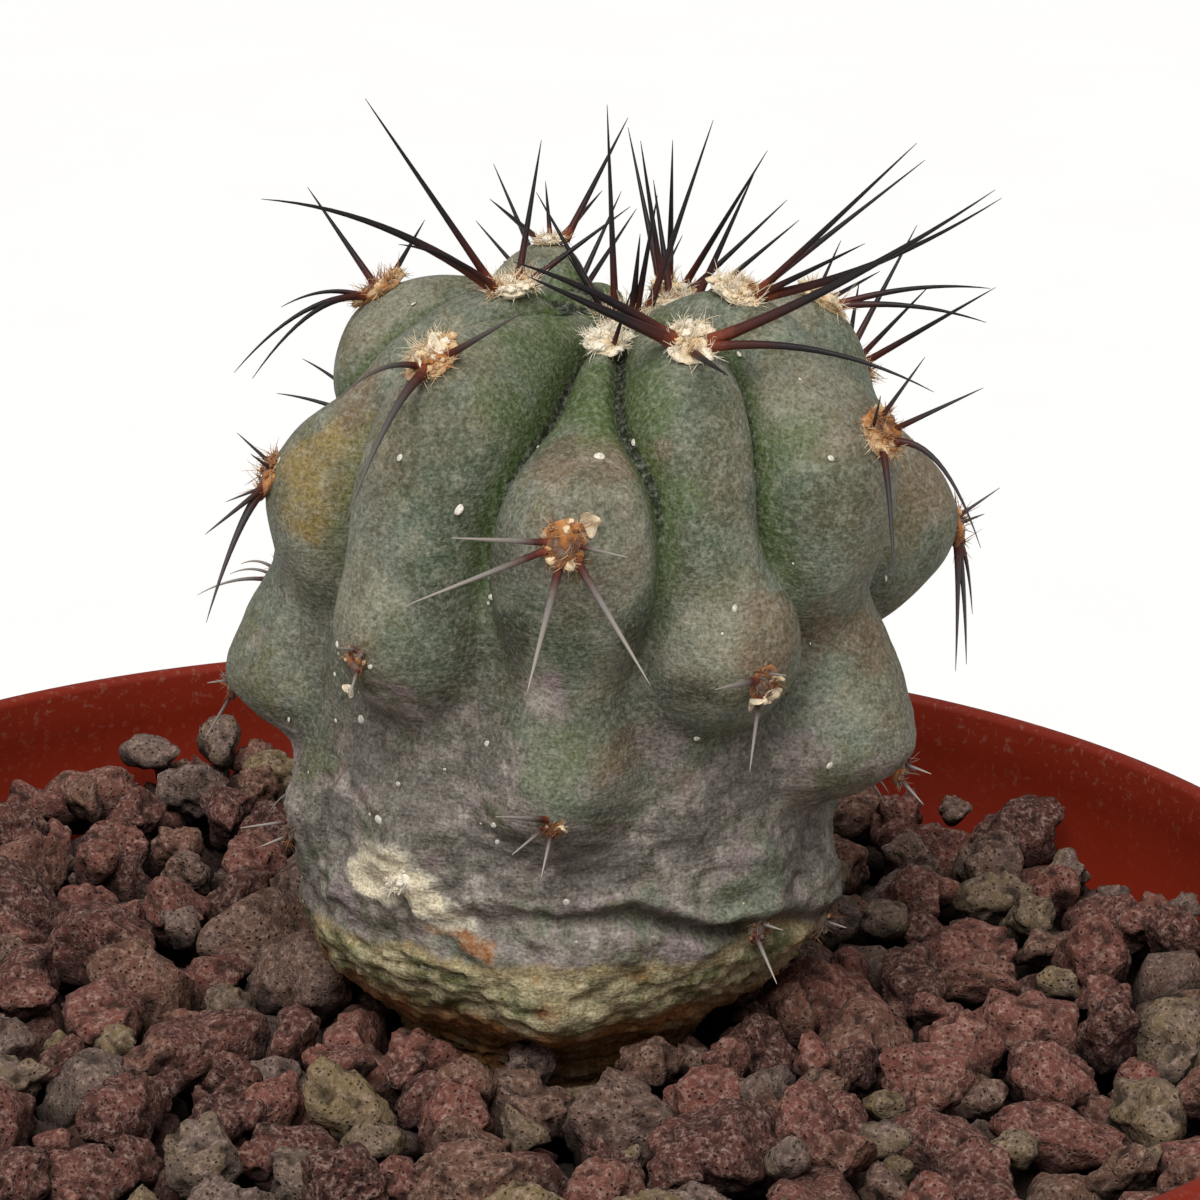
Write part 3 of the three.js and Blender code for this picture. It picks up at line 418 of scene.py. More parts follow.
def skinMaterial():
    # epidermis: living skin under a dull wax bloom, so highlights are broad and faint
    # and the colour is powdery
    look = skinLook
    material, tree, shader, place = newMaterial("waxyEpidermis")
    colour = linear(look["ground"])
    for i, (mask, size, ragged, low, high, strength, tone) in enumerate(look["layers"]):
        patches = addNode(tree, "ShaderNodeTexNoise", {
            "Vector": place, "W": 1.7 * i, "Scale": 1 / size, "Detail": 4.0, "Roughness": 0.65},
            noise_dimensions="4D")
        if mask:
            layer = addNode(tree, "ShaderNodeAttribute", attribute_name=mask).outputs["Fac"]
            patches = addNode(tree, "ShaderNodeMath", {0: patches, 1: ragged, 2: layer},
                              operation="MULTIPLY_ADD")
        share = addNode(tree, "ShaderNodeMapRange", {
            "Value": patches, "From Min": low, "From Max": high, "To Max": strength},
            interpolation_type="SMOOTHSTEP")
        colour = addNode(tree, "ShaderNodeMix", {0: share, 6: colour, 7: linear(tone)},
                         data_type="RGBA").outputs[2]

    grains = addNode(tree, "ShaderNodeTexNoise", {
        "Vector": place, "Scale": 1 / look["granule"], "Detail": 2.0})
    darker = addNode(tree, "ShaderNodeValToRGB", {0: grains}, stops=[
        (0.3, look["granuleDark"]), (0.62, "#ffffff")])
    colour = addNode(tree, "ShaderNodeMix", {0: 1.0, 6: colour, 7: darker},
                     data_type="RGBA", blend_type="MULTIPLY").outputs[2]
    dust = addNode(tree, "ShaderNodeTexNoise", {
        "Vector": place, "Scale": 1 / look["dustSize"], "Detail": 4.0, "Roughness": 0.75})
    lighter = addNode(tree, "ShaderNodeValToRGB", {0: dust}, stops=[(0.46, 0.0), (0.72, look["dustShare"])])
    colour = addNode(tree, "ShaderNodeMix", {0: lighter, 6: colour, 7: linear(look["dust"])},
                     data_type="RGBA").outputs[2]

    mottles = addNode(tree, "ShaderNodeTexNoise", {
        "Vector": place, "Scale": 1 / look["mottle"], "Detail": 5.0, "Roughness": 0.65})
    flatPlace = addNode(tree, "ShaderNodeMapping", {"Vector": place, "Scale": (1, 1, look["thinner"])})
    wrinkles = addNode(tree, "ShaderNodeTexNoise", {
        "Vector": flatPlace, "Scale": 1 / look["wrinkle"], "Detail": 3.0})
    relief = mottles
    for finer, share in ((wrinkles, look["wrinkleShare"]), (grains, look["granuleShare"])):
        relief = addNode(tree, "ShaderNodeMath", {0: finer, 1: share, 2: relief}, operation="MULTIPLY_ADD")
    bump = addNode(tree, "ShaderNodeBump", {"Height": relief, "Strength": look["bump"], "Distance": 0.0003})
    fill(tree, shader, {"Base Color": colour, "Normal": bump, "Roughness": look["roughness"],
                        "Specular IOR Level": look["specular"]})
    return material


skinForm = {
    "around": 332, "rows": 224, "rootRows": 12, "below": 2.5,
    # azimuth and height of the line where skin passes into corky crust
    "corkLine": [(-180, 6.6), (-120, 6), (-75, 7), (-52, 7.6), (-34, 8.3), (-13, 7.9), (3, 8.1), (17, 8),
                 (30, 7.8), (41, 8), (46, 9.3), (53, 8.8), (80, 6.5), (130, 6.2), (180, 6.6)],
    # azimuth and height of the fold in which the skin above hangs over the base, and how strong it is there
    "foldLine": [(-180, 7.5), (-60, 8.4), (-35, 8.9), (-20, 10.4), (0, 10.8), (15, 10.9), (28, 10),
                 (34, 9.3), (46, 9.4), (60, 8.4), (90, 7.4), (180, 7.5)],
    "fold": [(-180, 0.3), (-60, 0.3), (-30, 0.2), (-10, 0.35), (5, 0.6), (16, 1), (46, 1.2), (56, 0.8),
             (90, 0.4), (180, 0.3)],
    "foldDepth": 0.9,
    "grooveDepth": 0.75,    # of the sharp bottom of a crease between young columns
    # azimuth, way down, radius and depth of hollows behind a tubercle's neck
    "sinks": [(-1.5, 10.3, 3.0, 0.7), (29, 15, 2.6, 0.4), (-38, 16.5, 2.6, 0.5)],
    # azimuth, height and radius along the pale scar
    "scar": [(-48, 11.0, 1.1), (-43, 11.5, 1.7), (-37, 11.9, 1.9), (-32, 11.2, 1.4), (-27, 10.3, 1.0),
             (-21, 9.4, 0.8), (-15, 8.4, 0.7)],
    # azimuth, lowest and highest point of creases that run up the side
    "sideFolds": [(-62, 9, 16), (-69, 8.5, 17.5), (-77, 10, 18), (63, 9.5, 15), (118, 9, 18),
                  (-128, 9, 17)],
    # colours that keep to their places: azimuth, way down, radius and strength
    "spots": {
        "cool": [(-31.6, 14.1, 3.2, 1), (-26, 17.5, 3, 0.9), (17, 13, 2.6, 1), (20, 11, 2.2, 0.8),
                 (18.8, 16, 2.8, 0.8), (11, 19.5, 2, 0.7), (41, 16.1, 3, 0.8), (-4.4, 20.6, 1.8, 0.8),
                 (-11.2, 19.9, 1.8, 0.7), (-26.4, 21.3, 3, 0.7), (-1.5, 12, 2.4, 0.6), (37, 21, 2.6, 0.5),
                 (-16.8, 34.5, 2.6, 0.6), (0, 35.2, 2.4, 0.6), (37.2, 33.8, 3, 0.6), (110, 15, 4, 0.9),
                 (150, 17, 4, 0.9), (-140, 15, 4, 0.9), (-170, 18, 4, 0.8), (-115, 16, 3, 0.8)],
        "pale": [(-91.6, 9.2, 3, 0.9), (-67.2, 19.7, 2.6, 0.8), (7.2, 17.1, 1.6, 0.6), (24, 21, 3.4, 0.8),
                 (45, 11.6, 2.8, 0.8), (3, 23.2, 1.8, 0.7), (62.8, 25.4, 2.8, 0.8), (-42.8, 20.2, 3, 0.8),
                 (-38, 9, 2.4, 0.5), (16, 8, 2.4, 0.5), (100, 8, 3, 0.9), (130, 22, 4, 0.9),
                 (-150, 8, 3, 0.9), (180, 24, 4, 0.8)],
        "ochre": [(-71.6, 16.1, 2.2, 1), (-69.2, 14.1, 1.8, 0.9), (-71.6, 17.8, 1.8, 0.7),
                  (165, 15, 2.4, 0.7)],
        "flush": [(-8.8, 12.8, 2, 1), (-1.5, 12.6, 2.2, 1), (6, 12.8, 2, 0.9), (-73, 12.5, 2.4, 0.7),
                  (33, 20.5, 2.8, 0.9), (50, 22.2, 2.4, 0.9), (-52, 30.9, 2.2, 1), (-41, 31.1, 2, 0.8),
                  (26.4, 30, 2, 0.8), (8, 27, 2, 0.9), (62, 22.9, 2.4, 0.8), (88, 17.4, 3, 0.9),
                  (-60, 12, 2.2, 0.5), (120, 14, 3, 0.9), (-160, 22, 3.4, 0.9)],
        "purple": [(40.8, 29.6, 3.2, 1), (27.2, 31.8, 3, 1), (6.4, 32.8, 3, 1), (-7.2, 23.8, 1.8, 0.7),
                   (-20.8, 27.8, 3.4, 1), (-48.8, 29, 3.2, 1), (-30, 30.6, 3.4, 1), (57.6, 34.7, 3, 0.9),
                   (-20, 33, 3, 0.8), (-35, 25.5, 2.4, 0.8), (18, 27, 2, 0.6), (-60, 34, 3, 0.7),
                   (90, 31, 4, 1), (130, 33, 5, 1), (180, 30, 5, 1), (-130, 32, 5, 1)],
        "fresh": [(-1.5, 9.6, 3.2, 0.9), (-3.2, 27.1, 2.8, 0.42), (-44, 5, 2.5, 0.8),
                  (-18.4, 5.9, 2.4, 0.8), (40, 12.8, 1.8, 0.6), (-22, 11, 1.6, 0.8), (-25.6, 7.7, 2, 0.7),
                  (9, 11.1, 1.5, 0.7), (13.2, 14.5, 1.6, 0.6), (150, 3, 5, 0.8)],
        "dim": [(8, 29.5, 2.2, 0.7), (-54, 23, 1.8, 0.6), (-25, 32.6, 1.2, 0.7), (-16, 17.3, 1.6, 0.9),
                (-14.4, 21, 1.8, 1), (9.2, 20.6, 1.5, 0.9), (18.4, 23.8, 1.8, 0.9), (-28.8, 19.5, 1.6, 0.6),
                (-19.6, 24.5, 2.2, 0.9), (-73.2, 30.3, 2.4, 0.8), (7.2, 24.9, 1.6, 0.8),
                (-10, 31.6, 1.3, 0.8), (60, 20, 2.2, 0.6), (33, 29, 2.2, 0.7), (-110, 26, 3, 0.8),
                (140, 30, 3, 0.8), (170, 24, 2.5, 0.8)],
    },
    # chalky drops of dried water: azimuth and way down of those in the photograph, and how many more
    "drops": [(-27.6, 15.5), (7.6, 11.4), (-0.8, 12.8), (45.6, 14.2), (51.6, 28.8), (24.8, 26.6),
              (-41.6, 32.3), (-29.2, 40), (-52, 27.6), (-21.2, 19.2), (25.6, 19.5)],
    "moreDrops": 70,
}


def skinAt(azimuth, way):
    # the finished skin's points, with what colours it
    place = frameAt(azimuth, way)
    base, height = place["point"], place["point"][:, 2]
    rise, crease = tubercleRise(base, way, parts=True)
    buried = 1 - smooth(way, groundWay - stemForm["footBlend"][0], groundWay + stemForm["footBlend"][1])
    rise = rise * buried
    groove = skinForm["grooveDepth"] * smooth(crease, 0.05, 0.6) * (1 - 0.8 * smooth(way, 22, 32))
    groove = groove * smooth(way, 2, 5) * buried
    turned = (azimuth + 180) % 360 - 180

    def along(line, *waves):
        # a listed line round the stem, with waves of these heights, sizes and seeds
        listed = np.interp(turned, *np.array(skinForm[line]).T)
        for high, size, seed in waves:
            listed = listed + high * lumps(base, size, seed)
        return listed

    over = height - along("corkLine", (0.5, 2.6, 11), (0.25, 0.9, 12))
    above = height - along("foldLine", (0.45, 2.4, 21), (0.15, 0.8, 22))
    fold = along("fold") * skinForm["foldDepth"] * (1 + 0.5 * lumps(base, 2.2, 13))

    grown, shrunk = smooth(way, 10, 30), smooth(way, 25, 35)
    relief = 0.12 * lumps(base, 3.4, 1) + 0.07 * lumps(base, 1.5, 2)
    level = base / [2.4, 2.4, 1.3]
    wrinkle = 1 - 2.2 * np.abs(lumps(level, 1, 3))
    relief += shrunk * (0.2 * wrinkle + 0.2 * lumps(base, 2.1, 5)
                        + 0.09 * (1 - 3 * np.abs(lumps(base, 0.75, 6))))
    relief += 0.035 * grown * lumps(base, 0.55, 7)
    cork = smooth(-over, -0.6, 1.2) * smooth(way, 30, 34)
    flakes = base / [3.2, 3.2, 0.55]
    flaky = 1 - 2.4 * np.abs(lumps(flakes, 1, 14))
    relief += cork * (0.2 * flaky + 0.12 * lumps(base, 0.6, 15) + 0.14 * lumps(base / [2, 2, 0.8], 1, 23))
    relief += fold * (0.3 * np.exp(-((above - 0.5) / 0.5) ** 2) - np.exp(-((above + 0.55) / 0.6) ** 2))
    seams = np.zeros(len(base))
    for middle, low, high in skinForm["sideFolds"]:
        aside = (turned - middle) * 0.25 + 0.7 * lumps(base / [1, 1, 1.6], 2, 24)
        seam = np.exp(-(aside / 0.28) ** 2) * smooth(height, low, low + 2)
        seams = np.maximum(seams, seam * smooth(-height, -high, 2 - high))
    relief -= 0.32 * seams + groove
    for middle, down, radius, depth in skinForm["sinks"]:
        spot = frameAt(middle, down)["point"]
        relief -= depth * np.exp(-np.sum((base - spot) ** 2, 1) / radius ** 2)

    scarPath = np.array(skinForm["scar"])
    ends = frameAt(scarPath[:, 0], wayAt(scarPath[:, 1]))["point"]
    inside = np.full(len(base), -9.0)
    for a, b, ra, rb in zip(ends[:-1], ends[1:], scarPath[:-1, 2], scarPath[1:, 2]):
        share = np.clip((base - a) @ (b - a) / ((b - a) @ (b - a)), 0, 1)
        away = np.linalg.norm(base - a - share[:, None] * (b - a), axis=1)
        inside = np.maximum(inside, mix(ra, rb, share) - away)
    inside += 0.75 * lumps(base, 1.6, 16) + 0.45 * lumps(base, 0.6, 17)
    scar = smooth(inside, -0.6, 0.8)
    tail = scar * smooth(-height, -10.2, -9)
    relief += 0.16 * scar - 0.06 * np.exp(-((inside + 0.3) / 0.25) ** 2)

    return {"point": base + place["normal"] * (rise + relief)[:, None], "normal": place["normal"],
            "base": base, "rise": rise, "crease": crease * buried,
            "cork": cork, "scar": scar, "tail": tail, "seams": seams,
            # under: the strip just below the fold, which paintSkin darkens as painted shade
            "under": smooth(fold, 0.2, 0.8) * np.exp(-((above + 0.6) / 0.5) ** 2)}


def paintSkin(piece, way, skin):
    base, height = skin["base"], skin["base"][:, 2]
    tall = np.clip(skin["rise"] / stemForm["height"], 0, 1.3)
    drift = 0.5 + 0.5 * lumps(base, 6, 7) + 0.3 * lumps(base, 2, 8)
    blotch = 0.5 + 0.6 * lumps(base, 3.2, 18) + 0.3 * lumps(base, 1.1, 19)
    young = 1 - smooth(way, 8, 20)
    low = 1 - smooth(tall + 0.08 * lumps(base, 2.4, 20), 0.15, 0.75)
    spots = {}
    for i, (name, places) in enumerate(skinForm["spots"].items()):
        spots[name] = np.zeros(len(base))
        for middle, down, radius, strength in places:
            spot = frameAt(middle, down)["point"]
            near = np.linalg.norm(base - spot, axis=1) / radius + 0.35 * lumps(base, 1.7, 30 + i)
            spots[name] = np.maximum(spots[name], strength * (1 - smooth(near, 0.3, 1.2)))
    masks = {name: spots[name] for name in ("cool", "pale", "ochre")}
    green = 0.95 * smooth(skin["crease"], 0.02, 0.5) * (1 - smooth(way, 13, 25)) + 0.9 * low * young
    masks["fresh"] = np.clip(np.maximum(green, spots["fresh"]), 0, 1)
    # painted shade along the crease bottoms, fading out down the side
    masks["deep"] = smooth(skin["crease"], 0.25, 0.8) * (1 - 0.95 * smooth(way, 12, 21))
    flush = 0.5 * smooth(tall * 0.7 + drift * 0.4, 0.4, 0.95) * smooth(way, 6, 14)
    masks["flush"] = np.maximum(flush, spots["flush"])
    band = smooth(way, 20, 31) * (0.4 + 0.6 * smooth(way, 26, 33))
    masks["purple"] = np.clip(band * 0.5 * smooth(blotch, 0.0, 0.6) + 0.7 * spots["purple"], 0, 1)
    # painted shade: darker in the hollows between tubercles, along the side creases, under the fold and in
    # the dim spots
    hollowShade = 0.75 * (1 - smooth(tall, 0.05, 0.4)) * smooth(way, 12, 20) * (1 - smooth(way, 26, 34))
    dim = np.maximum(np.maximum(spots["dim"], hollowShade), 0.7 * skin["seams"])
    masks["dim"] = np.clip(dim + 0.8 * skin["under"], 0, 1)
    masks["cork"] = skin["cork"]
    lip = skin["cork"] * smooth(-height, -6.5, -3)
    rust = skin["cork"] * smooth(blotch, 0.5, 0.9) * 0.6 + 0.75 * lip + skin["tail"] * 0.9
    masks["rust"] = np.clip(rust, 0, 1)
    masks["scar"] = np.clip(skin["scar"] * (1 - 0.6 * skin["tail"]), 0, 1)
    for name, values in masks.items():
        # the crown's point takes the first value, and the root's end none
        paint(piece, name, np.append(values, [values[0], 0]))


def makeStem():
    around = skinForm["around"]
    ways = np.concatenate([
        np.linspace(0, groundWay + skinForm["below"], skinForm["rows"] + 1)[1:],
        np.linspace(groundWay + skinForm["below"], sideEnd, skinForm["rootRows"] + 1)[1:-1]])
    azimuth, way = np.meshgrid(np.arange(around) * 360 / around, ways)
    azimuth, way = azimuth.ravel(), way.ravel()
    skin = skinAt(azimuth, way)
    rise = tubercleRise(frameAt(np.zeros(1), np.zeros(1))["point"], np.zeros(1))
    top = frameAt(0, 0)["point"] + [0, 0, float(rise[0])]
    points = planted(np.vstack([skin["point"], top, frameAt(0, sideEnd)["point"]]))
    piece = newPiece("stemSkin", points, closedRings(len(ways), around), [skinMaterial()])
    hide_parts("stem")
    paintSkin(piece, way, skin)


makeStem()
print("stem made")


dropLook = {"chalk": "#e4dfd2", "shade": "#b9b09c", "cloud": 0.15, "roughness": 0.9}
dropForm = {
    "seed": 8,
    "ways": (8, 42),            # how far down the side those by chance lie
    "seenRadius": (0.16, 0.3),
    "moreRadius": (0.07, 0.2),
    "uneven": (0.75, 1.25),
    "flattened": 0.65,
}


def dropMaterial():
    # lime left by dried drops of hard water: a thin matt crust, nearly white and a little uneven
    material, tree, shader, place = newMaterial("limeCrust")
    cloud = addNode(tree, "ShaderNodeTexNoise", {
        "Vector": place, "Scale": 1 / dropLook["cloud"], "Detail": 3.0})
    colour = addNode(tree, "ShaderNodeValToRGB", {0: cloud}, stops=[
        (0.35, dropLook["shade"]), (0.6, dropLook["chalk"])])
    fill(tree, shader, {"Base Color": colour, "Roughness": dropLook["roughness"]})
    return material


def makeDrops():
    form, seen, count = dropForm, skinForm["drops"], skinForm["moreDrops"]
    rng = np.random.default_rng(form["seed"])
    more = np.stack([rng.uniform(-180, 180, count), rng.uniform(*form["ways"], count)], 1)
    places = np.vstack([seen, more])
    sizes = np.concatenate([rng.uniform(*form["seenRadius"], len(seen)),
                            rng.uniform(*form["moreRadius"], count)])
    skin = skinAt(places[:, 0], places[:, 1])
    sphere, sphereFaces = ball(2)
    points, faces = [], []
    for middle, normal, size in zip(skin["point"], skin["normal"], sizes):
        flat = sphere * size * rng.uniform(*form["uneven"], 3)
        flat -= np.outer(flat @ normal, normal) * form["flattened"]
        faces.append(sphereFaces + len(points) * len(sphere))
        points.append(middle + flat)
    newPiece("limeDrops", planted(np.vstack(points)), [np.vstack(faces)], [dropMaterial()])


makeDrops()
print("drops made")


# spines and felt of each areole

spineForm = {
    # how far each tip lies from its areole, right, towards the front and up, then how far the spine bows up
    "crown": [
        (-2.1, 0.5, 11.8), (0.2, 2.5, 5.4), (-5.4, -2.8, 6.3), (3.6, -2, 10.6), (0.9, 3, 7.6), (-3.6, 2, 4.2),
        (2.6, -3.4, 4)],
    "seen": {
        3: [(3.4, -1, 7.4), (-2, -3, 6.2), (6, -0.4, 4.7)],
        4: [(8.2, 2, 8.6), (9, -1.4, 7), (6, 3.4, 3.6), (12.6, 4.6, 6.4, -0.8)],
        5: [(1, 3, 3.6)],
        6: [(-8.3, 2, 10.4), (-13.2, 4, 5.4, 1), (-5.9, 5, 3.4, 0.5), (6, -1.5, 4.2), (1, -2.8, 7.4)],
        7: [(3.6, -2, 6.6), (-3.6, -5, 1.2), (-0.6, -4.4, 2.4), (2.6, -6, 1.6)],
        9: [(9.2, -1, 0.6, 0.5), (9, 1, -0.8, 0.5), (1, -3, 2.6), (3.4, -4.4, 0.6)],
        10: [(-8.6, 5.4, 4.6), (-9.4, 3.2, 4.8, 0.4), (12.3, 5, -1, 1), (2.2, 8.5, -0.4), (14.4, 3, 9, -0.6)],
        11: [(-4.6, 4, -1.2, 0.8), (4.6, 4.4, 3.8), (-3.2, 8, -7.1, 1.4)],
        12: [(-4.4, -2.6, 5), (-5.2, 1, -0.8, 0.6), (-6.8, 3.6, -4.6, 1.3), (-5.5, 5.2, -4.6, 1.4),
             (2, -5.4, 2.7)],
        15: [(4.9, 1, 2.8), (1.8, 0.4, 4.2), (-0.4, 2.4, 2.6), (5.6, 2.2, -5.4, 1.8), (1.1, 6.5, -6.8, 0.8)],
        16: [(-5.7, 3, 1), (-7.6, 3.4, -2.4), (3.1, 3, 0.2), (-1.3, 3.4, -7), (4.8, 4.4, -6)],
        17: [(-1.9, 0.2, 2.4), (0.3, 1.8, 2.2), (-1.8, 4.4, -7.2, 1.2), (-0.8, 4.6, -3.4), (-2.2, 1, -1.2)],
        20: [(-0.2, 2, -7.6, 0.9), (1.4, 0.6, -7.6, 0.9), (1.6, -1.3, -5.3, 0.9), (0.8, -0.6, 3.2),
             (1.4, 0.9, 1.1)],
        21: [(-3.6, 5.4, 2), (-0.4, 2.6, -4), (1, 1.6, 0.9)],
        22: [(-1, 1.4, 1), (0.8, 1, 0.6), (-0.2, 1.6, -1.6)],
        26: [(1.4, 1, -1.6), (1.7, 0.4, 0.8)],
        27: [(-3, 4.6, 2), (-2, 2, -1), (-0.4, 2, -2.2)],
        28: [(-1.4, 0.8, -3), (-1.5, 0.2, 0.6)],
        32: [(-1.6, 4.2, -0.2), (1.2, 1.4, 0.5)],
        33: [(0.5, 1, -0.3)],
        37: [(1.3, 0.8, 0.1)],
        39: [(-2.8, 0.7, 0.4), (-1.6, 0.9, -0.8)],
    },
    "fanCount": (5, 2),
    "fanLength": (11, 2.6),
    "fanStep": 50,
    "radius": 0.4,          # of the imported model's three-sided spines
    "drawn": 0.215,         # and of these round ones
    "stout": {(10, 0): 0.36, (10, 1): 0.32, (10, 2): 0.26, (10, 4): 0.34, (11, 2): 0.3, (17, 2): 0.3,
              (6, 1): 0.28, (-1, 1): 0.28, (4, 3): 0.28, (16, 3): 0.26},
    "clear": 0.45,
    "gap": 0.3,
    "lowest": 3.6,
    "sides": 8,
    "rings": 15,
    "feltRadius": (1.9, 0.9),
    "feltThickness": 0.5,
    "crownPlace": (40, 1.6),
    "crownRadius": 2.5,
}


def unit(vector):
    return vector / np.linalg.norm(vector)


def lineApart(first, second):
    # least distance between two straight pieces, sampled along the first
    points = mix(first[0], first[1], np.linspace(0, 1, 11)[:, None])
    along = second[1] - second[0]
    share = np.clip((points - second[0]) @ along / (along @ along), 0, 1)
    return np.min(np.linalg.norm(points - second[0] - share[:, None] * along, axis=1))


placedSpines = []


def clearSpine(owner, root, reach, bow, draw):
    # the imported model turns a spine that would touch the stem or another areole's spine, and so does this
    form = spineForm
    length = np.linalg.norm(reach)
    for attempt in range(160):
        strength = 0.02 * attempt
        turned = unit(reach) + strength * (np.array([draw(), draw(), draw()]) - 0.5)
        turned = unit(turned + owner["frame"]["normal"] * 0.012 * attempt) * length
        tip = root + turned
        bend = root + turned * 0.52 + np.array([0, 0, bow])
        share = np.arange(2, 13)[:, None] / 12
        points = np.where(share < 0.5, mix(root, bend, share * 2), mix(bend, tip, share * 2 - 1))
        free = np.linalg.norm(points - owner["feltMiddle"], axis=1) < owner["felt"] * 0.9
        low = outsideStem(points) < form["radius"] * (1.3 - share[:, 0]) + form["gap"]
        low |= points[:, 2] < form["lowest"]
        clear = not np.any(low & ~free)
        for other in placedSpines:
            if not clear:
                break
            if other["owner"] == owner["number"]:
                continue
            for piece in ((root, bend), (bend, tip)):
                if lineApart(piece, other["lower"]) < form["clear"] + 2 * form["radius"]:
                    clear = False
                if lineApart(piece, other["upper"]) < form["clear"] + 1.6 * form["radius"]:
                    clear = False
        for pad in areoles:
            if clear and pad["number"] != owner["number"] and pad["felt"]:
                along = tip - root
                near = root + along * min(max((pad["feltMiddle"] - root) @ along / (along @ along), 0), 1)
                if np.linalg.norm(near - pad["feltMiddle"]) < pad["felt"] + form["clear"] + form["radius"]:
                    clear = False
        if clear:
            placedSpines.append({"owner": owner["number"], "lower": (root, bend), "upper": (bend, tip)})
            return root, bend, tip
    return None


def fanOf(areole, draw):
    age, here = areole["age"], areole["frame"]
    count = int(math.floor(mix(*spineForm["fanCount"], age) + 0.5))
    length = mix(*spineForm["fanLength"], min(age * 1.15, 1))
    reaches = []
    for i in range(count):
        turn = math.radians(90 + (i - (count - 1) / 2) * spineForm["fanStep"] + 20 * (draw() - 0.5))
        spread = mix(0.75, 1.15, draw())
        reach = here["normal"] + here["round"] * spread * math.cos(turn)
        reach = reach + here["up"] * spread * math.sin(turn) * mix(0.9, -0.5, age)
        reach = reach + np.array([0, 0, mix(0.35, -0.2, age)])
        reaches.append((unit(reach) * length * mix(0.75, 1.15, draw()), mix(0, 0.7, age)))
    return reaches


crown = {"number": -1, "age": 0, "way": spineForm["crownPlace"][1], "felt": spineForm["crownRadius"],
         "frame": frameAt(*spineForm["crownPlace"])}
buds = [a for a in areoles if a["number"] > 2 and a["frame"]["point"][2] > stemForm["lowestAreole"]]
for areole in [crown] + buds:
    if not areole["felt"]:
        areole["felt"] = mix(*spineForm["feltRadius"], min(areole["age"] * 1.2, 1))
    spot = areole["frame"]["point"]
    rise = float(tubercleRise(spot[None], np.array([areole["way"]]))[0])
    areole["feltMiddle"] = spot + areole["frame"]["normal"] * rise

draw = seeded(11)
for areole in [crown] + buds:
    listed = spineForm["crown"] if areole is crown else spineForm["seen"].get(areole["number"])
    if listed:
        reaches = [(np.array([s[0], -s[1], s[2]], float), s[3] if len(s) > 3 else 0) for s in listed]
    else:
        reaches = fanOf(areole, draw)
    areole["spines"] = []
    for i, (reach, bow) in enumerate(reaches):
        normal = areole["frame"]["normal"]
        sideways = unit(reach - normal * (reach @ normal))
        root = areole["feltMiddle"] + sideways * areole["felt"] * 0.4
        placed = clearSpine(areole, root, reach - root + areole["feltMiddle"], bow, draw)
        if placed:
            thin = min(max(np.linalg.norm(reach) / 7, 0.55), 1)
            radius = spineForm["stout"].get((areole["number"], i), spineForm["drawn"]) * thin
            areole["spines"].append((placed, radius, bow))
print("spines placed:", sum(len(a["spines"]) for a in [crown] + buds))


def tube(path, radii, sides):
    # closed round tube along a path, with the share of the way along it at each point
    ahead = np.gradient(path, axis=0)
    ahead /= np.linalg.norm(ahead, axis=1, keepdims=True)
    aside = np.array([0.0, 0, 1]) if abs(ahead[0][2]) < 0.9 else np.array([1.0, 0, 0])
    across = np.cross(np.broadcast_to(aside, ahead.shape), ahead)
    across /= np.linalg.norm(across, axis=1, keepdims=True)
    other = np.cross(ahead, across)
    turn = np.arange(sides) * 2 * np.pi / sides
    ring = across[:, None, :] * np.cos(turn)[None, :, None] + other[:, None, :] * np.sin(turn)[None, :, None]
    points = path[:, None, :] + ring * radii[:, None, None]
    count = len(path)
    quads = ringFaces(count, sides)[:, ::-1]
    ends = np.stack([np.arange(sides)[::-1], (count - 1) * sides + np.arange(sides)])
    return points.reshape(-1, 3), quads, ends, np.repeat(np.linspace(0, 1, count), sides)


spineLook = {
    "black": "#1c1517",
    "brown": "#4a1f16",
    "redRoot": "#93482a",
    "grey": "#88807a",
    "pale": "#b8ada0",
    "streak": 0.5,
    "roughness": 0.5,
    "oldRoughness": 0.75,
    "specular": 0.3,
    # how grey the spines of these areoles have weathered
    "weathered": {11: 0.25, 15: 0.1, 16: 0.85, 17: 0.15, 20: 0.2, 21: 0.8, 22: 0.8, 26: 0.8, 28: 0.7},
}


def hornMaterial():
    # spine: hard horn-like fibre, smooth and a little glossy when young, dull and grey when old
    look = spineLook
    material, tree, shader, place = newMaterial("spineHorn")
    along = addNode(tree, "ShaderNodeAttribute", attribute_name="along").outputs["Fac"]
    age = addNode(tree, "ShaderNodeAttribute", attribute_name="age").outputs["Fac"]
    streaks = addNode(tree, "ShaderNodeTexNoise", {
        "Vector": place, "Scale": 1 / look["streak"], "Detail": 4.0, "Roughness": 0.7})
    wobble = addNode(tree, "ShaderNodeMath", {0: streaks, 1: 0.22, 2: -0.11}, operation="MULTIPLY_ADD")
    reach = addNode(tree, "ShaderNodeMath", {0: along, 1: wobble}, operation="ADD")
    young = addNode(tree, "ShaderNodeValToRGB", {0: reach}, stops=[
        (0.0, look["redRoot"]), (0.12, look["brown"]), (0.38, look["black"]), (1.0, look["black"])])
    old = addNode(tree, "ShaderNodeValToRGB", {0: reach}, stops=[
        (0.0, look["redRoot"]), (0.16, look["brown"]), (0.4, look["grey"]), (1.0, look["pale"])])
    colour = addNode(tree, "ShaderNodeMix", {0: age, 6: young, 7: old}, data_type="RGBA").outputs[2]
    bump = addNode(tree, "ShaderNodeBump", {"Height": streaks, "Strength": 0.3, "Distance": 0.0001})
    dull = addNode(tree, "ShaderNodeMapRange", {
        "Value": age, "To Min": look["roughness"], "To Max": look["oldRoughness"]})
    fill(tree, shader, {"Base Color": colour, "Normal": bump, "Roughness": dull,
                        "Specular IOR Level": look["specular"]})
    return material


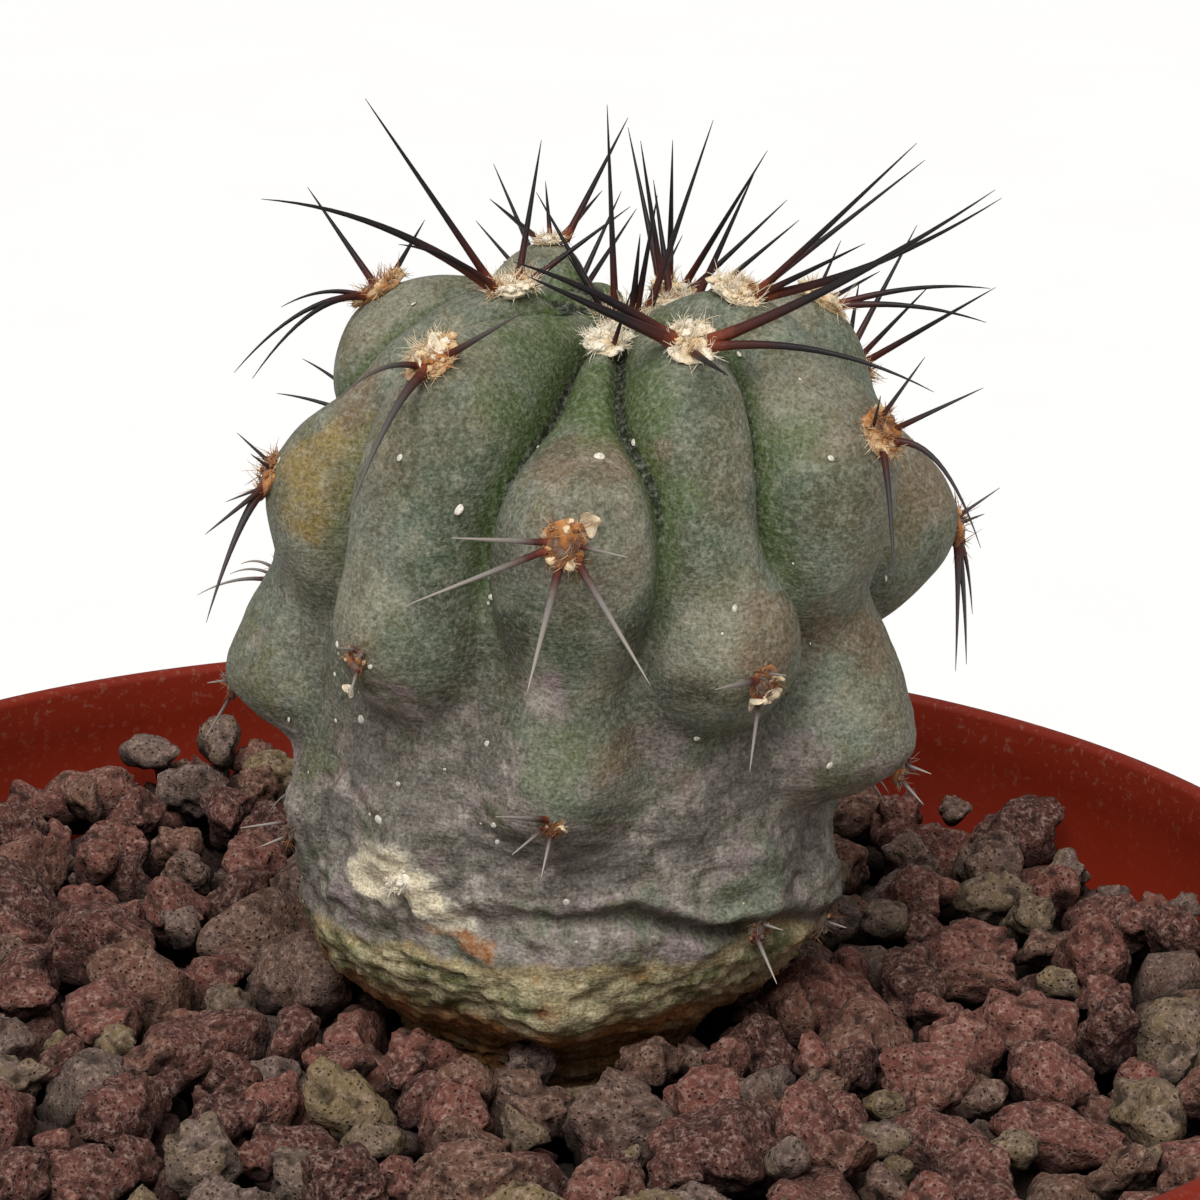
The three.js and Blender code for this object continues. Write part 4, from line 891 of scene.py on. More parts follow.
woolLook = {
    "cream": "#fff4de",
    "straw": "#ecd0a2",
    "amber": "#b5753a",
    "umber": "#74482b",
    "grey": "#8b8072",
    "cloud": 0.7,
    "curl": 0.16,
    "roughness": 0.95,
    "sheen": 0.15,
    "padShare": (0.74, 0.85),      # width of the matted pad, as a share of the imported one, young and old
    "padHeight": (0.6, 0.8),
    "padShape": (0.92, 1.08),      # across and up
    "padSizes": {7: 0.6, 5: 0.85, 3: 0.8, 21: 0.85, 22: 0.7, 27: 0.8},
    "tufts": (20, 7),              # lumps of wool on it
    "tuftSize": (0.09, 0.2),       # as shares of the pad's radius
    # tones of pads seen in the photograph; 33 stands in the scar and has its colour
    "tones": {33: -0.4, 5: -0.02, 10: 0.0, 11: 0.22, 12: 0.34, 21: 0.5, 22: 0.45, 27: 0.36},
    "fibres": (560, 140),
    "fibreRadius": 0.03,           # plant wool is about 0.02 mm, drawn thicker so that it shows
    "fibreLength": (0.36, 0.5),    # share of the pad's radius
    "fibreTaper": (1.1, 1, 0.8, 0.25),
    "bunch": 8,                    # hairs that grow the same way
    "crownShare": 1.3,             # more of them on the crown
    # dried flower remains: how far right of and above the areole each flake stands, and how large it is
    "flakes": {11: [(0.2, 0.3, 1.1), (-0.3, -0.9, 0.8)], 16: [(1.15, 0.95, 1.7), (-1.1, 0.2, 0.6)],
               21: [(-0.7, -0.9, 1.3), (0.5, 0.2, 1), (0.3, -0.6, 0.9)], 22: [(0.1, -1.6, 1.1)],
               10: [(0.2, -0.8, 1)], 27: [(0.5, -0.1, 0.8)]},
}


def woolMaterial():
    # plant wool: matted dry hairs, so there is no shine and each hair catches light at its edge
    look = woolLook
    material, tree, shader, place = newMaterial("areoleWool")
    tone = addNode(tree, "ShaderNodeAttribute", attribute_name="tone").outputs["Fac"]
    cloud = addNode(tree, "ShaderNodeTexNoise", {
        "Vector": place, "Scale": 1 / look["cloud"], "Detail": 5.0, "Roughness": 0.7})
    drift = addNode(tree, "ShaderNodeMath", {0: cloud, 1: 0.5, 2: -0.25}, operation="MULTIPLY_ADD")
    shade = addNode(tree, "ShaderNodeMath", {0: tone, 1: drift}, operation="ADD")
    colour = addNode(tree, "ShaderNodeValToRGB", {0: shade}, stops=[
        (0.0, look["cream"]), (0.3, look["straw"]), (0.55, look["amber"]), (0.8, look["umber"]),
        (1.0, look["grey"])])
    curls = addNode(tree, "ShaderNodeTexNoise", {
        "Vector": place, "Scale": 1 / look["curl"], "Detail": 3.0, "Distortion": 1.5})
    bump = addNode(tree, "ShaderNodeBump", {"Height": curls, "Strength": 0.6, "Distance": 0.0002})
    fill(tree, shader, {"Base Color": colour, "Normal": bump, "Roughness": look["roughness"],
                        "Sheen Weight": look["sheen"]})
    return material


balls = {level: ball(level) for level in (2, 3, 4, 5)}
horn, wool = hornMaterial(), woolMaterial()


def flake(rng):
    # a papery scrap, curled along its length
    sphere, faces = balls[3]
    points = sphere * [rng.uniform(0.25, 0.45), rng.uniform(0.4, 0.8), 0.06]
    points[:, :2] *= 1 + 0.5 * lumps(points + rng.uniform(0, 50), 0.45, 3)[:, None]
    points[:, 2] += 0.5 * points[:, 1] ** 2 + 0.35 * points[:, 0] ** 2 + 0.22 * lumps(points, 0.35, 4)
    turn = Matrix.Rotation(rng.uniform(-0.8, 0.8), 3, "Z") @ Matrix.Rotation(rng.uniform(0.5, 1.1), 3, "X")
    return points @ np.array(turn).T, faces


def makeAreole(areole, name, node, seed):
    rng = np.random.default_rng(seed)
    here, felt, age = areole["frame"], areole["felt"], areole["age"]
    axes = np.stack([here["round"], here["up"], here["normal"]])
    size = np.array([*woolLook["padShape"], spineForm["feltThickness"]]) * felt
    points, faces, kinds, tones, alongs = [], [], [], [], []

    def add(newPoints, newFaces, kind, tone, along):
        start = sum(len(p) for p in points)
        points.append(newPoints)
        for f in newFaces:
            faces.append(f + start)
            kinds.append(np.full(len(f), kind))
        tones.append(tone)
        alongs.append(along)

    # the matted pad, lumpy
    sphere, sphereFaces = balls[4 if age < 0.6 else 3]
    base = woolLook["tones"].get(areole["number"], 0.08 + 0.55 * min(age * 1.5, 1))
    share = mix(*woolLook["padShare"], min(age * 2, 1)) * woolLook["padSizes"].get(areole["number"], 1)
    size = size * share * [1, 1, mix(*woolLook["padHeight"], min(age * 2, 1))]
    far = (9, 9, 9)
    roots = [(placed[0] - areole["feltMiddle"]) @ axes.T for placed, _, _ in areole["spines"]]
    roots = np.array(roots or [far])

    def toned(spots):
        # straw at the edge, browner round the roots of the spines
        near = np.min(np.linalg.norm(spots[:, None, :2] - roots[None, :, :2], axis=2), 1)
        return base + 0.38 * np.exp(-(near / 0.45) ** 2) + 0.16 * lumps(spots, 0.9, seed + 2)

    wide = 1 + 0.12 * lumps(sphere * felt, 0.45, seed + 1) + 0.3 * lumps(sphere * felt, 1.4, seed + 3)
    lumpy = sphere * size * wide[:, None]
    add(areole["feltMiddle"] + lumpy @ axes, [sphereFaces], 0, toned(lumpy) + 0.1, np.zeros(len(lumpy)))

    # lumps of wool packed on it, some of them over its edge
    tuftBall, tuftFaces = balls[3 if age < 0.35 else 2]
    for k in range(int(mix(*woolLook["tufts"], min(age * 1.6, 1)))):
        turn, out = rng.uniform(0, 2 * math.pi), math.sqrt(rng.uniform(0.0, 1.15))
        lift = math.sqrt(max(1 - 0.75 * out * out, 0.1))
        spot = np.array([out * math.cos(turn), out * math.sin(turn), lift]) * size
        big = felt * share * rng.uniform(*woolLook["tuftSize"]) * 1.2
        tuft = tuftBall * big * rng.uniform([0.8, 0.8, 0.5], [1.4, 1.2, 0.8])
        ruffle = 0.5 * lumps(tuftBall + rng.uniform(0, 40), 0.6, seed + k)
        ruffle += 0.3 * lumps(tuftBall + rng.uniform(0, 40), 0.3, k)
        tuft *= 1 + ruffle[:, None]
        tone = toned(spot[None])[0] + rng.normal() * mix(0.06, 0.2, min(age * 1.6, 1))
        add(areole["feltMiddle"] + (spot + tuft) @ axes, [tuftFaces], 0,
            tone + 0.15 * lumps(tuft, 0.4, seed + k), np.zeros(len(tuft)))

    # hairs in small bunches
    count = int(mix(*woolLook["fibres"], min(age * 1.6, 1)))
    if areole is crown:
        count = int(count * woolLook["crownShare"])
    for i in range(count):
        if i % woolLook["bunch"] == 0:
            tuft = unit(rng.normal(size=3) * [1, 1, 0.6] + [0, 0, 0.5])
            lean = rng.normal(size=3) * [1, 1, 0.4]
            tone = float(toned((tuft * size)[None])[0]) + rng.normal() * 0.1
        out = unit(tuft + rng.normal(size=3) * 0.14)
        if out[2] < -0.1:
            continue
        root = out * size * 0.93
        length = felt * share * mix(*woolLook["fibreLength"], age) * rng.uniform(0.5, 1.2)
        direction = unit(out / size * felt * 0.4 + lean * 1.1 + rng.normal(size=3) * 0.3)
        curl = rng.normal(size=3) * 0.7
        steps = np.linspace(0, 1, len(woolLook["fibreTaper"]))[:, None]
        path = root + direction * length * steps + curl * length * steps ** 2
        radii = woolLook["fibreRadius"] * np.array(woolLook["fibreTaper"])
        hair, quads, ends, along = tube(areole["feltMiddle"] + path @ axes, radii, 3)
        add(hair, [quads, ends], 0, np.full(len(hair), tone) + 0.12 * (1 - along), along)

    for right, up, large in woolLook["flakes"].get(areole["number"], []):
        scrap, scrapFaces = flake(rng)
        middle = np.array([right, up, max(size[2] - 0.25 * math.hypot(right, up), 0.15) + 0.2])
        add(areole["feltMiddle"] + (scrap * large + middle) @ axes, [scrapFaces], 0,
            np.full(len(scrap), rng.uniform(0.05, 0.4)), np.zeros(len(scrap)))

    # spines
    for (root, bend, tip), radius, bow in areole["spines"]:
        t = np.linspace(0, 1, spineForm["rings"])[:, None]
        middle = bend if abs(bow) > 0.3 else mix(root, tip, 0.52)
        control = (middle - 0.2304 * root - 0.2704 * tip) / 0.4992
        path = (1 - t) ** 2 * root + 2 * t * (1 - t) * control + t ** 2 * tip
        taper = radius * (1 - t[:, 0]) ** 0.85 * (1 + 0.25 * np.exp(-(t[:, 0] / 0.07) ** 2)) + 0.015
        shape, quads, ends, share = tube(path, taper, spineForm["sides"])
        add(shape, [quads, ends], 1, np.zeros(len(shape)), share)

    points = planted(np.vstack(points))
    piece = newPiece(name, points, faces, [wool, horn],
                     np.concatenate(kinds))
    paint(piece, "tone", np.concatenate(tones))
    paint(piece, "along", np.concatenate(alongs))
    weathered = spineLook["weathered"].get(areole["number"], float(smooth(age, 0.45, 0.8)))
    paint(piece, "age", np.full(len(points), weathered))
    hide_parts(node)


makeAreole(crown, "crownWool", "crown_wool", 900)
for areole in buds:
    number = f"{areole['number']:02d}"
    makeAreole(areole, "areole" + number, "areole_" + number, 901 + areole["number"])
print("areoles made")


# pot

potForm = {
    "height": 76, "rimRadius": 47.5, "bandHeight": 9, "rimStep": 1.6, "wall": 1.2, "edge": 0.4,
    "footRadius": 33, "footRing": 4, "floorLift": 2.4, "drains": 8, "drainRadius": 2.4, "drainCircle": 18,
    "sides": 192,
    "drainSides": 32, "drainCut": (8.0, -3.0),      # from and to this height
    "dustFrom": 6,                                  # below the rim
}
wallTopZ = potForm["height"] - potForm["bandHeight"]
wallTopRadius = potForm["rimRadius"] - potForm["rimStep"]
floorTopZ = potForm["floorLift"] + potForm["wall"]


def innerRadius(z):
    cone = mix(potForm["footRadius"], wallTopRadius, np.clip(z / wallTopZ, 0, 1))
    return cone + potForm["rimStep"] * np.clip((z - wallTopZ) / potForm["rimStep"], 0, 1) - potForm["wall"]


potLook = {
    "clay": "#84220a",
    "deep": "#6c1906",
    "dust": "#8c6352",
    "cloud": 9,
    "fine": 0.5,
    "roughness": 0.55,
    "dustRoughness": 0.9,
    "specular": 0.25,
}


def potMaterial():
    # polypropylene: moulded in a satin finish, slightly uneven in colour,
    # with pale dried dust on the upper edge
    look = potLook
    material, tree, shader, place = newMaterial("mouldedPolypropylene")
    cloud = addNode(tree, "ShaderNodeTexNoise", {"Vector": place, "Scale": 1 / look["cloud"], "Detail": 4.0})
    fine = addNode(tree, "ShaderNodeTexNoise", {
        "Vector": place, "Scale": 1 / look["fine"], "Detail": 4.0, "Roughness": 0.65})
    base = addNode(tree, "ShaderNodeMix", {0: cloud, 6: linear(look["clay"]), 7: linear(look["deep"])},
                   data_type="RGBA").outputs[2]
    dust = addNode(tree, "ShaderNodeAttribute", attribute_name="dust").outputs["Fac"]
    spots = addNode(tree, "ShaderNodeValToRGB", {0: fine}, stops=[(0.56, 0.0), (0.7, 0.6)])
    share = addNode(tree, "ShaderNodeMath", {0: dust, 1: spots}, operation="MULTIPLY")
    colour = addNode(tree, "ShaderNodeMix", {0: share, 6: base, 7: linear(look["dust"])},
                     data_type="RGBA").outputs[2]
    rough = addNode(tree, "ShaderNodeMapRange", {
        "Value": share, "To Min": look["roughness"], "To Max": look["dustRoughness"]})
    bump = addNode(tree, "ShaderNodeBump", {"Height": fine, "Strength": 0.12, "Distance": 0.0001})
    fill(tree, shader, {"Base Color": colour, "Normal": bump, "Roughness": rough,
                        "Specular IOR Level": look["specular"]})
    return material


def makePot():
    form = potForm
    ringInner = form["footRadius"] - form["footRing"]
    top, radius, wall, edge, foot = (
        form[key] for key in ("height", "rimRadius", "wall", "edge", "footRadius"))
    bend = 0.3 * edge
    profile = [(0.01, form["floorLift"]), (ringInner - form["floorLift"], form["floorLift"]),
               (ringInner - edge, 0.2), (ringInner, 0), (foot - 2 * edge, 0), (foot - bend, bend),
               (foot, 2 * edge)]
    for share in np.linspace(0.1, 1, 10):
        profile.append((mix(foot, wallTopRadius, share), wallTopZ * share))
    profile += [(radius - edge, wallTopZ), (radius - bend, wallTopZ + bend), (radius, wallTopZ + edge)]
    profile += [(radius, top - 4), (radius, top - edge), (radius - bend, top - bend), (radius - edge, top),
                (radius - wall + edge, top), (radius - wall + bend, top - bend), (radius - wall, top - edge),
                (radius - wall, top - 3), (radius - wall, wallTopZ + form["rimStep"])]
    for share in np.linspace(1, 0, 10):
        z = mix(floorTopZ, wallTopZ, share)
        profile.append((float(innerRadius(z)), z))
    profile.append((0.01, floorTopZ))
    profile = np.array(profile)[::-1]
    around = form["sides"]
    turn = np.arange(around) * 2 * np.pi / around
    points = np.stack([profile[:, 0, None] * np.cos(turn), profile[:, 0, None] * np.sin(turn),
                       np.broadcast_to(profile[:, 1, None], (len(profile), around))], -1).reshape(-1, 3)
    ends = np.stack([np.arange(around), ((len(profile) - 1) * around + np.arange(around))[::-1]])
    piece = newPiece("pot", points, [ringFaces(len(profile), around), ends], [potMaterial()])
    cutter = bpy.data.meshes.new("drains")
    cuts, cutFaces = [], []
    sides = form["drainSides"]
    turn = np.arange(sides) * 2 * np.pi / sides
    for i in range(form["drains"]):
        spot = i * 2 * np.pi / form["drains"]
        middle = np.array([math.cos(spot), math.sin(spot)]) * form["drainCircle"]
        start = len(cuts) * 2 * sides
        ring = middle + form["drainRadius"] * np.stack([np.cos(turn), np.sin(turn)], 1)
        cuts.append(np.vstack([np.column_stack([ring, np.full(sides, z)]) for z in form["drainCut"]]))
        ends = [start + np.arange(sides), (start + sides + np.arange(sides))[::-1]]
        cutFaces += [f.tolist() for f in [*(start + ringFaces(2, sides)), *ends]]
    cutter.from_pydata([tuple(p * millimetre) for p in np.vstack(cuts)], [], cutFaces)
    tool = bpy.data.objects.new("drains", cutter)
    bpy.context.scene.collection.objects.link(tool)
    cut = piece.modifiers.new("drains", "BOOLEAN")
    cut.operation, cut.object, cut.solver = "DIFFERENCE", tool, "EXACT"
    made = bpy.data.meshes.new_from_object(piece.evaluated_get(bpy.context.evaluated_depsgraph_get()))
    piece.modifiers.clear()
    piece.data = made
    bpy.data.objects.remove(tool)
    spots = np.zeros(len(made.vertices) * 3)
    made.vertices.foreach_get("co", spots)
    spots = spots.reshape(-1, 3) / millimetre
    inward = 1 - smooth(np.hypot(spots[:, 0], spots[:, 1]), form["rimRadius"] - 0.9, form["rimRadius"] - 0.1)
    dusty = smooth(spots[:, 2], form["height"] - form["dustFrom"], form["height"])
    paint(piece, "dust", dusty * (0.35 + 0.65 * inward))
    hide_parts("pot")


makePot()
print("pot made")


# lava grit: loose grains dropped one by one into the pot

gritForm = {
    "bowl": 1.3,
    "tilt": 1.0,
    "depth": 8.5,          # grains are made down to this far below the surface
    "grains": 1450,
    "tries": 26,
    "smallest": 0.8,       # radii in mm
    "largest": 3.4,
    "favourSmall": 1.55,
    "proud": 0.9,          # how far a grain may stand over the surface
    "seed": 21,
    "contact": 0.93,       # share of two grains' radii at which they rest on each other
    "grown": 1.14,         # and how much larger they are drawn, so that they close up
    "shapes": ([0.95, 0.78, 0.7], [1.4, 1.02, 0.98]),
    "knocks": 11,
    "knockDepth": (0.52, 0.88),
    "knocked": 0.9,        # share of what stands over it that a knock takes off
    "tipped": 0.5,         # spread of how far a grain is tipped, in radians
    "stemFrom": 28,        # way down the side from which the grains keep off the stem
    "stemGap": 0.5,
    "stemContact": 0.85,
    "wallGap": 0.1,
    "settled": 0.35,       # share of its radius that counts when a grain's level is judged
    "upper": (0.55, 1.2),  # how deep a grain in sight lies: share of its radius, and mm
    "fineCount": 22,       # grains nearest to the viewer that get the finest mesh
    "fineRadius": 1.9,
    "smallRadius": 1.5,
    "perPiece": 150,
    "smallCount": 600,
    "underCounts": (60, 560),
}


def gritSurface(x, y):
    out = np.clip(np.hypot(x, y) / potForm["rimRadius"], 0, 1)
    tilted = gritForm["tilt"] * (x / potForm["rimRadius"]) * out
    return plantPlace["gritZ"] + gritForm["bowl"] * out ** 2 - tilted


def dropGrains():
    form = gritForm
    rng = np.random.default_rng(form["seed"])
    shown = side["way"] > form["stemFrom"]
    profile = np.stack([side["r"][shown] + form["stemGap"], side["z"][shown] + footZ], 1)
    spots = np.zeros((0, 4))
    for i in range(form["grains"]):
        radius = form["smallest"] + (form["largest"] - form["smallest"]) * rng.random() ** form["favourSmall"]
        best = None
        for k in range(form["tries"]):
            out = (innerRadius(66.0) - radius - form["wallGap"]) * math.sqrt(rng.random())
            turn = rng.random() * 2 * math.pi
            x, y = out * math.cos(turn), out * math.sin(turn)
            z = float(gritSurface(x, y)) - form["depth"] + radius
            if len(spots):
                apart = np.hypot(spots[:, 0] - x, spots[:, 1] - y)
                reach = form["contact"] * (spots[:, 3] + radius)
                over = apart < reach
                if np.any(over):
                    z = max(z, float(np.max(spots[over, 2] + np.sqrt(reach[over] ** 2 - apart[over] ** 2))))
            fromPlant = math.hypot(x - plantPlace["x"], y - plantPlace["y"])
            toStem = np.min(np.hypot(fromPlant - profile[:, 0], z - profile[:, 1]))
            inStem = fromPlant < np.interp(z, profile[::-1, 1], profile[::-1, 0])
            inWall = out + radius > innerRadius(z) - form["wallGap"]
            if inStem or inWall or toStem < radius * form["stemContact"]:
                continue
            level = z + form["settled"] * radius - float(gritSurface(x, y))
            if best is None or level < best[0]:
                best = (level, x, y, z)
        if best is None or best[0] > form["proud"]:
            continue
        spots = np.vstack([spots, [best[1], best[2], best[3], radius]])
    return spots


lavaLook = {
    # from the commonest colour to the rarest
    "maroon": "#4f302a",
    "red": "#7d4d42",
    "brown": "#6a4c3d",
    "ash": "#6d5c54",
    "tan": "#7d6a4a",
    "pitShade": "#150d09",
    "chalk": "#c8aa9a",
    "cloud": 1.6,
    "pore": 0.34,
    "roughness": 0.95,
    "specular": 0.2,
    # painted shade in the gaps between grains: its strength, and the depth at which it is full
    "gapShade": 1.25,
    "gapDepth": 2.6,        # mm under the surface where it is full
    "hollowDark": 0.75,
    "favourCommon": 1.5,
}


def lavaMaterial():
    # scoria: foamed lava, broken and sieved, dull and rough, with its pores darkened by painted shade
    # and a little pale dust on the high spots
    look = lavaLook
    material, tree, shader, place = newMaterial("scoriaStone")
    tone = addNode(tree, "ShaderNodeAttribute", attribute_name="tone").outputs["Fac"]
    hollowShade = addNode(tree, "ShaderNodeAttribute", attribute_name="hollowShade").outputs["Fac"]
    cloud = addNode(tree, "ShaderNodeTexNoise", {
        "Vector": place, "Scale": 1 / look["cloud"], "Detail": 4.0, "Roughness": 0.6})
    fine = addNode(tree, "ShaderNodeTexNoise", {
        "Vector": place, "Scale": 1 / look["pore"], "Detail": 4.0, "Roughness": 0.75})
    cells = addNode(tree, "ShaderNodeTexVoronoi", {
        "Vector": place, "Scale": 1 / look["pore"], "Randomness": 1.0}, feature="F1")
    drift = addNode(tree, "ShaderNodeMath", {0: cloud, 1: 0.5, 2: -0.25}, operation="MULTIPLY_ADD")
    shade = addNode(tree, "ShaderNodeMath", {0: tone, 1: drift}, operation="ADD")
    stone = addNode(tree, "ShaderNodeValToRGB", {0: shade}, stops=[
        (0.0, look["maroon"]), (0.25, look["red"]), (0.55, look["brown"]), (0.8, look["ash"]),
        (1.0, look["tan"])])
    dusty = addNode(tree, "ShaderNodeValToRGB", {0: fine}, stops=[(0.48, 0.0), (0.7, 0.6)])
    colour = addNode(tree, "ShaderNodeMix", {0: dusty, 6: stone, 7: linear(look["chalk"])},
                     data_type="RGBA").outputs[2]
    pores = addNode(tree, "ShaderNodeValToRGB", {0: cells}, stops=[(0.08, 0.7), (0.3, 0.0)])
    # painted shade: pores and the hollowShade attribute blend towards the near-black pit colour
    dark = addNode(tree, "ShaderNodeMath", {0: pores, 1: hollowShade}, operation="MAXIMUM")
    colour = addNode(tree, "ShaderNodeMix", {0: dark, 6: colour, 7: linear(look["pitShade"])},
                     data_type="RGBA").outputs[2]
    relief = addNode(tree, "ShaderNodeMath", {0: fine, 1: pores}, operation="SUBTRACT")
    bump = addNode(tree, "ShaderNodeBump", {"Height": relief, "Strength": 0.9, "Distance": 0.0003})
    fill(tree, shader, {"Base Color": colour, "Normal": bump, "Roughness": look["roughness"],
                        "Specular IOR Level": look["specular"]})
    return material


lava = lavaMaterial()


def grainShapes(spots, level, rng):
    # each grain: a ball with faces knocked off it, lumps of broken foam, open pores and a granular crust
    sphere, faces = balls[level]
    count, per = len(spots), len(sphere)
    shape = rng.uniform(*gritForm["shapes"], (count, 3))
    points = np.broadcast_to(sphere, (count, per, 3)).copy()
    for i in range(count):
        for k in range(gritForm["knocks"]):
            normal = unit(rng.normal(size=3))
            depth = rng.uniform(*gritForm["knockDepth"])
            over = np.maximum(points[i] @ normal - depth, 0)
            points[i] -= over[:, None] * normal * gritForm["knocked"]
    points *= shape[:, None, :] * spots[:, None, 3:4] * gritForm["grown"]
    shift = (np.arange(count) * 37.3)[:, None, None] + np.zeros((1, per, 3))
    flat = (points + shift).reshape(-1, 3)
    outward = (points / np.linalg.norm(points, axis=2, keepdims=True)).reshape(-1, 3)
    radius = np.repeat(spots[:, 3], per)
    swell = 0.24 * radius * lumps(flat / radius[:, None], 0.9, 3) + 0.26 * lumps(flat, 1.2, 4)
    crust = 1 - 2.4 * np.abs(lumps(flat, 0.8, 5))
    pores = smooth(lumps(flat, 0.95, 6), 0.2, 0.55) + 0.7 * smooth(lumps(flat, 0.5, 7), 0.25, 0.5)
    swell += 0.14 * crust + 0.1 * lumps(flat, 0.42, 8) - 0.28 * pores
    flat = outward * swell[:, None] + points.reshape(-1, 3)
    points = flat.reshape(count, per, 3)
    for i in range(count):
        turn = Matrix.Rotation(rng.uniform(0, 2 * math.pi), 3, "Z")
        for axis in "XY":
            turn = turn @ Matrix.Rotation(rng.normal() * gritForm["tipped"], 3, axis)
        points[i] = points[i] @ np.array(turn).T
    # painted shade: the lower half of each grain is darker, so the tops look lighter
    underShade = smooth(-points[:, :, 2] / spots[:, None, 3], -0.3, 0.6).ravel()
    points += spots[:, None, :3]
    allFaces = (faces[None] + (np.arange(count) * per)[:, None, None]).reshape(-1, 3)
    # painted shade in the pores, in the cracks of the crust and on the lower halves
    hollowShade = np.clip(pores + 0.35 * smooth(-crust, 0.2, 1.2) + 0.9 * underShade, 0, 1)
    return points.reshape(-1, 3), allFaces, hollowShade


def makeGrains(name, spots, level, seed):
    rng = np.random.default_rng(seed)
    # pores holds the painted shade from grainShapes: in pores, in cracks and on lower halves
    points, faces, pores = grainShapes(spots, level, rng)
    points[:, 2] = np.minimum(points[:, 2], potForm["height"] - potForm["edge"])
    piece = newPiece(name, points, [faces], [lava])
    per = len(points) // len(spots)
    # painted shade: grains are darker the deeper they lie under the grit's surface, in the gaps between them
    below = gritSurface(points[:, 0], points[:, 1]) - points[:, 2]
    pores = np.maximum(pores, lavaLook["gapShade"] * smooth(below, 0.0, lavaLook["gapDepth"]))
    paint(piece, "tone", np.repeat(rng.random(len(spots)) ** lavaLook["favourCommon"], per))
    paint(piece, "hollowShade", pores * lavaLook["hollowDark"])
    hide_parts("lava_grit")
    return len(faces)


spots = dropGrains()
depth = gritSurface(spots[:, 0], spots[:, 1]) - spots[:, 2]
upper = depth < gritForm["upper"][0] * spots[:, 3] + gritForm["upper"][1]
nearness = spots[:, 1] + 0.35 * np.abs(spots[:, 0] - 3)
nearness = np.where(upper & (spots[:, 3] > gritForm["fineRadius"]), nearness, 1e3)
finest = np.zeros(len(spots), bool)
finest[np.argsort(nearness)[:gritForm["fineCount"]]] = True
small = upper & ~finest & (spots[:, 3] < gritForm["smallRadius"])
middling = spots[upper & ~finest & ~small]
print("grains:", len(spots), "upper:", int(np.sum(upper)), "middling:", len(middling))
under = spots[~upper][np.argsort(depth[~upper])]
near, far = gritForm["underCounts"]
groups = [      # name, grains, level of the mesh and seed
    ("lavaGrainsFront", spots[finest], 5, 31),
    *((f"lavaGrains{k + 1}", middling[i:i + gritForm["perPiece"]], 4, 32 + i)
      for k, i in enumerate(range(0, len(middling), gritForm["perPiece"]))),
    ("lavaGrainsSmall", spots[small][:gritForm["smallCount"]], 3, 71),
    ("lavaGrainsUnder", under[:near], 3, 77),
    ("lavaGrainsDeep", under[near:far], 2, 78)]
print("grain triangles:", sum(makeGrains(*group) for group in groups))


bedForm = {
    "around": 160, "rings": 46,
    "sunk": 5.5,            # below the grit's surface
    "waves": ((0.9, 2.2), (0.4, 1.0)),      # height and size
    "wallFrom": 56, "wallRings": 6, "gap": 0.3,
    # its tone, and the painted shade that makes it nearly black
    "tone": 0.15, "hollowShade": 0.88,
}


def makeBed():
    # finer grit between and under the grains, down to the pot's floor; its near-black colour is painted shade
    form = bedForm
    turn = np.arange(form["around"]) * 2 * np.pi / form["around"]
    (high, wide), (low, narrow) = form["waves"]
    rings = []
    for j in range(1, form["rings"] + 1):
        out = (innerRadius(64.0) - 0.25) * j / form["rings"]
        x, y = out * np.cos(turn), out * np.sin(turn)
        z = gritSurface(x, y) - form["sunk"]
        flat = np.stack([x, y, z], 1)
        z = z + high * np.abs(lumps(flat, wide, 1)) + low * lumps(flat, narrow, 2)
        rings.append(np.stack([x, y, z], 1))
    bottom = floorTopZ + form["gap"]
    for z in np.linspace(form["wallFrom"], bottom, form["wallRings"]):
        out = innerRadius(z) - form["gap"]
        rings.append(np.stack([out * np.cos(turn), out * np.sin(turn), np.full(len(turn), z)], 1))
    points = np.vstack(rings + [[[0, 0, plantPlace["gritZ"] - form["sunk"]], [0, 0, bottom]]])
    piece = newPiece("gritBed", points, closedRings(len(rings), len(turn)), [lava])
    for name in ("tone", "hollowShade"):
        paint(piece, name, np.full(len(points), form[name]))
    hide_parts("lava_grit")


makeBed()
print("grit made")


# floor, lights and camera

studio = {
    "floor": "#fbfaf8",
    "floorShade": "#f7f6f4",
    "floorHalf": 4,         # metres
    "worldLight": 0.33,
    "sun": {"place": (-60, -258, 375), "angle": 42, "strength": 2.95},
}


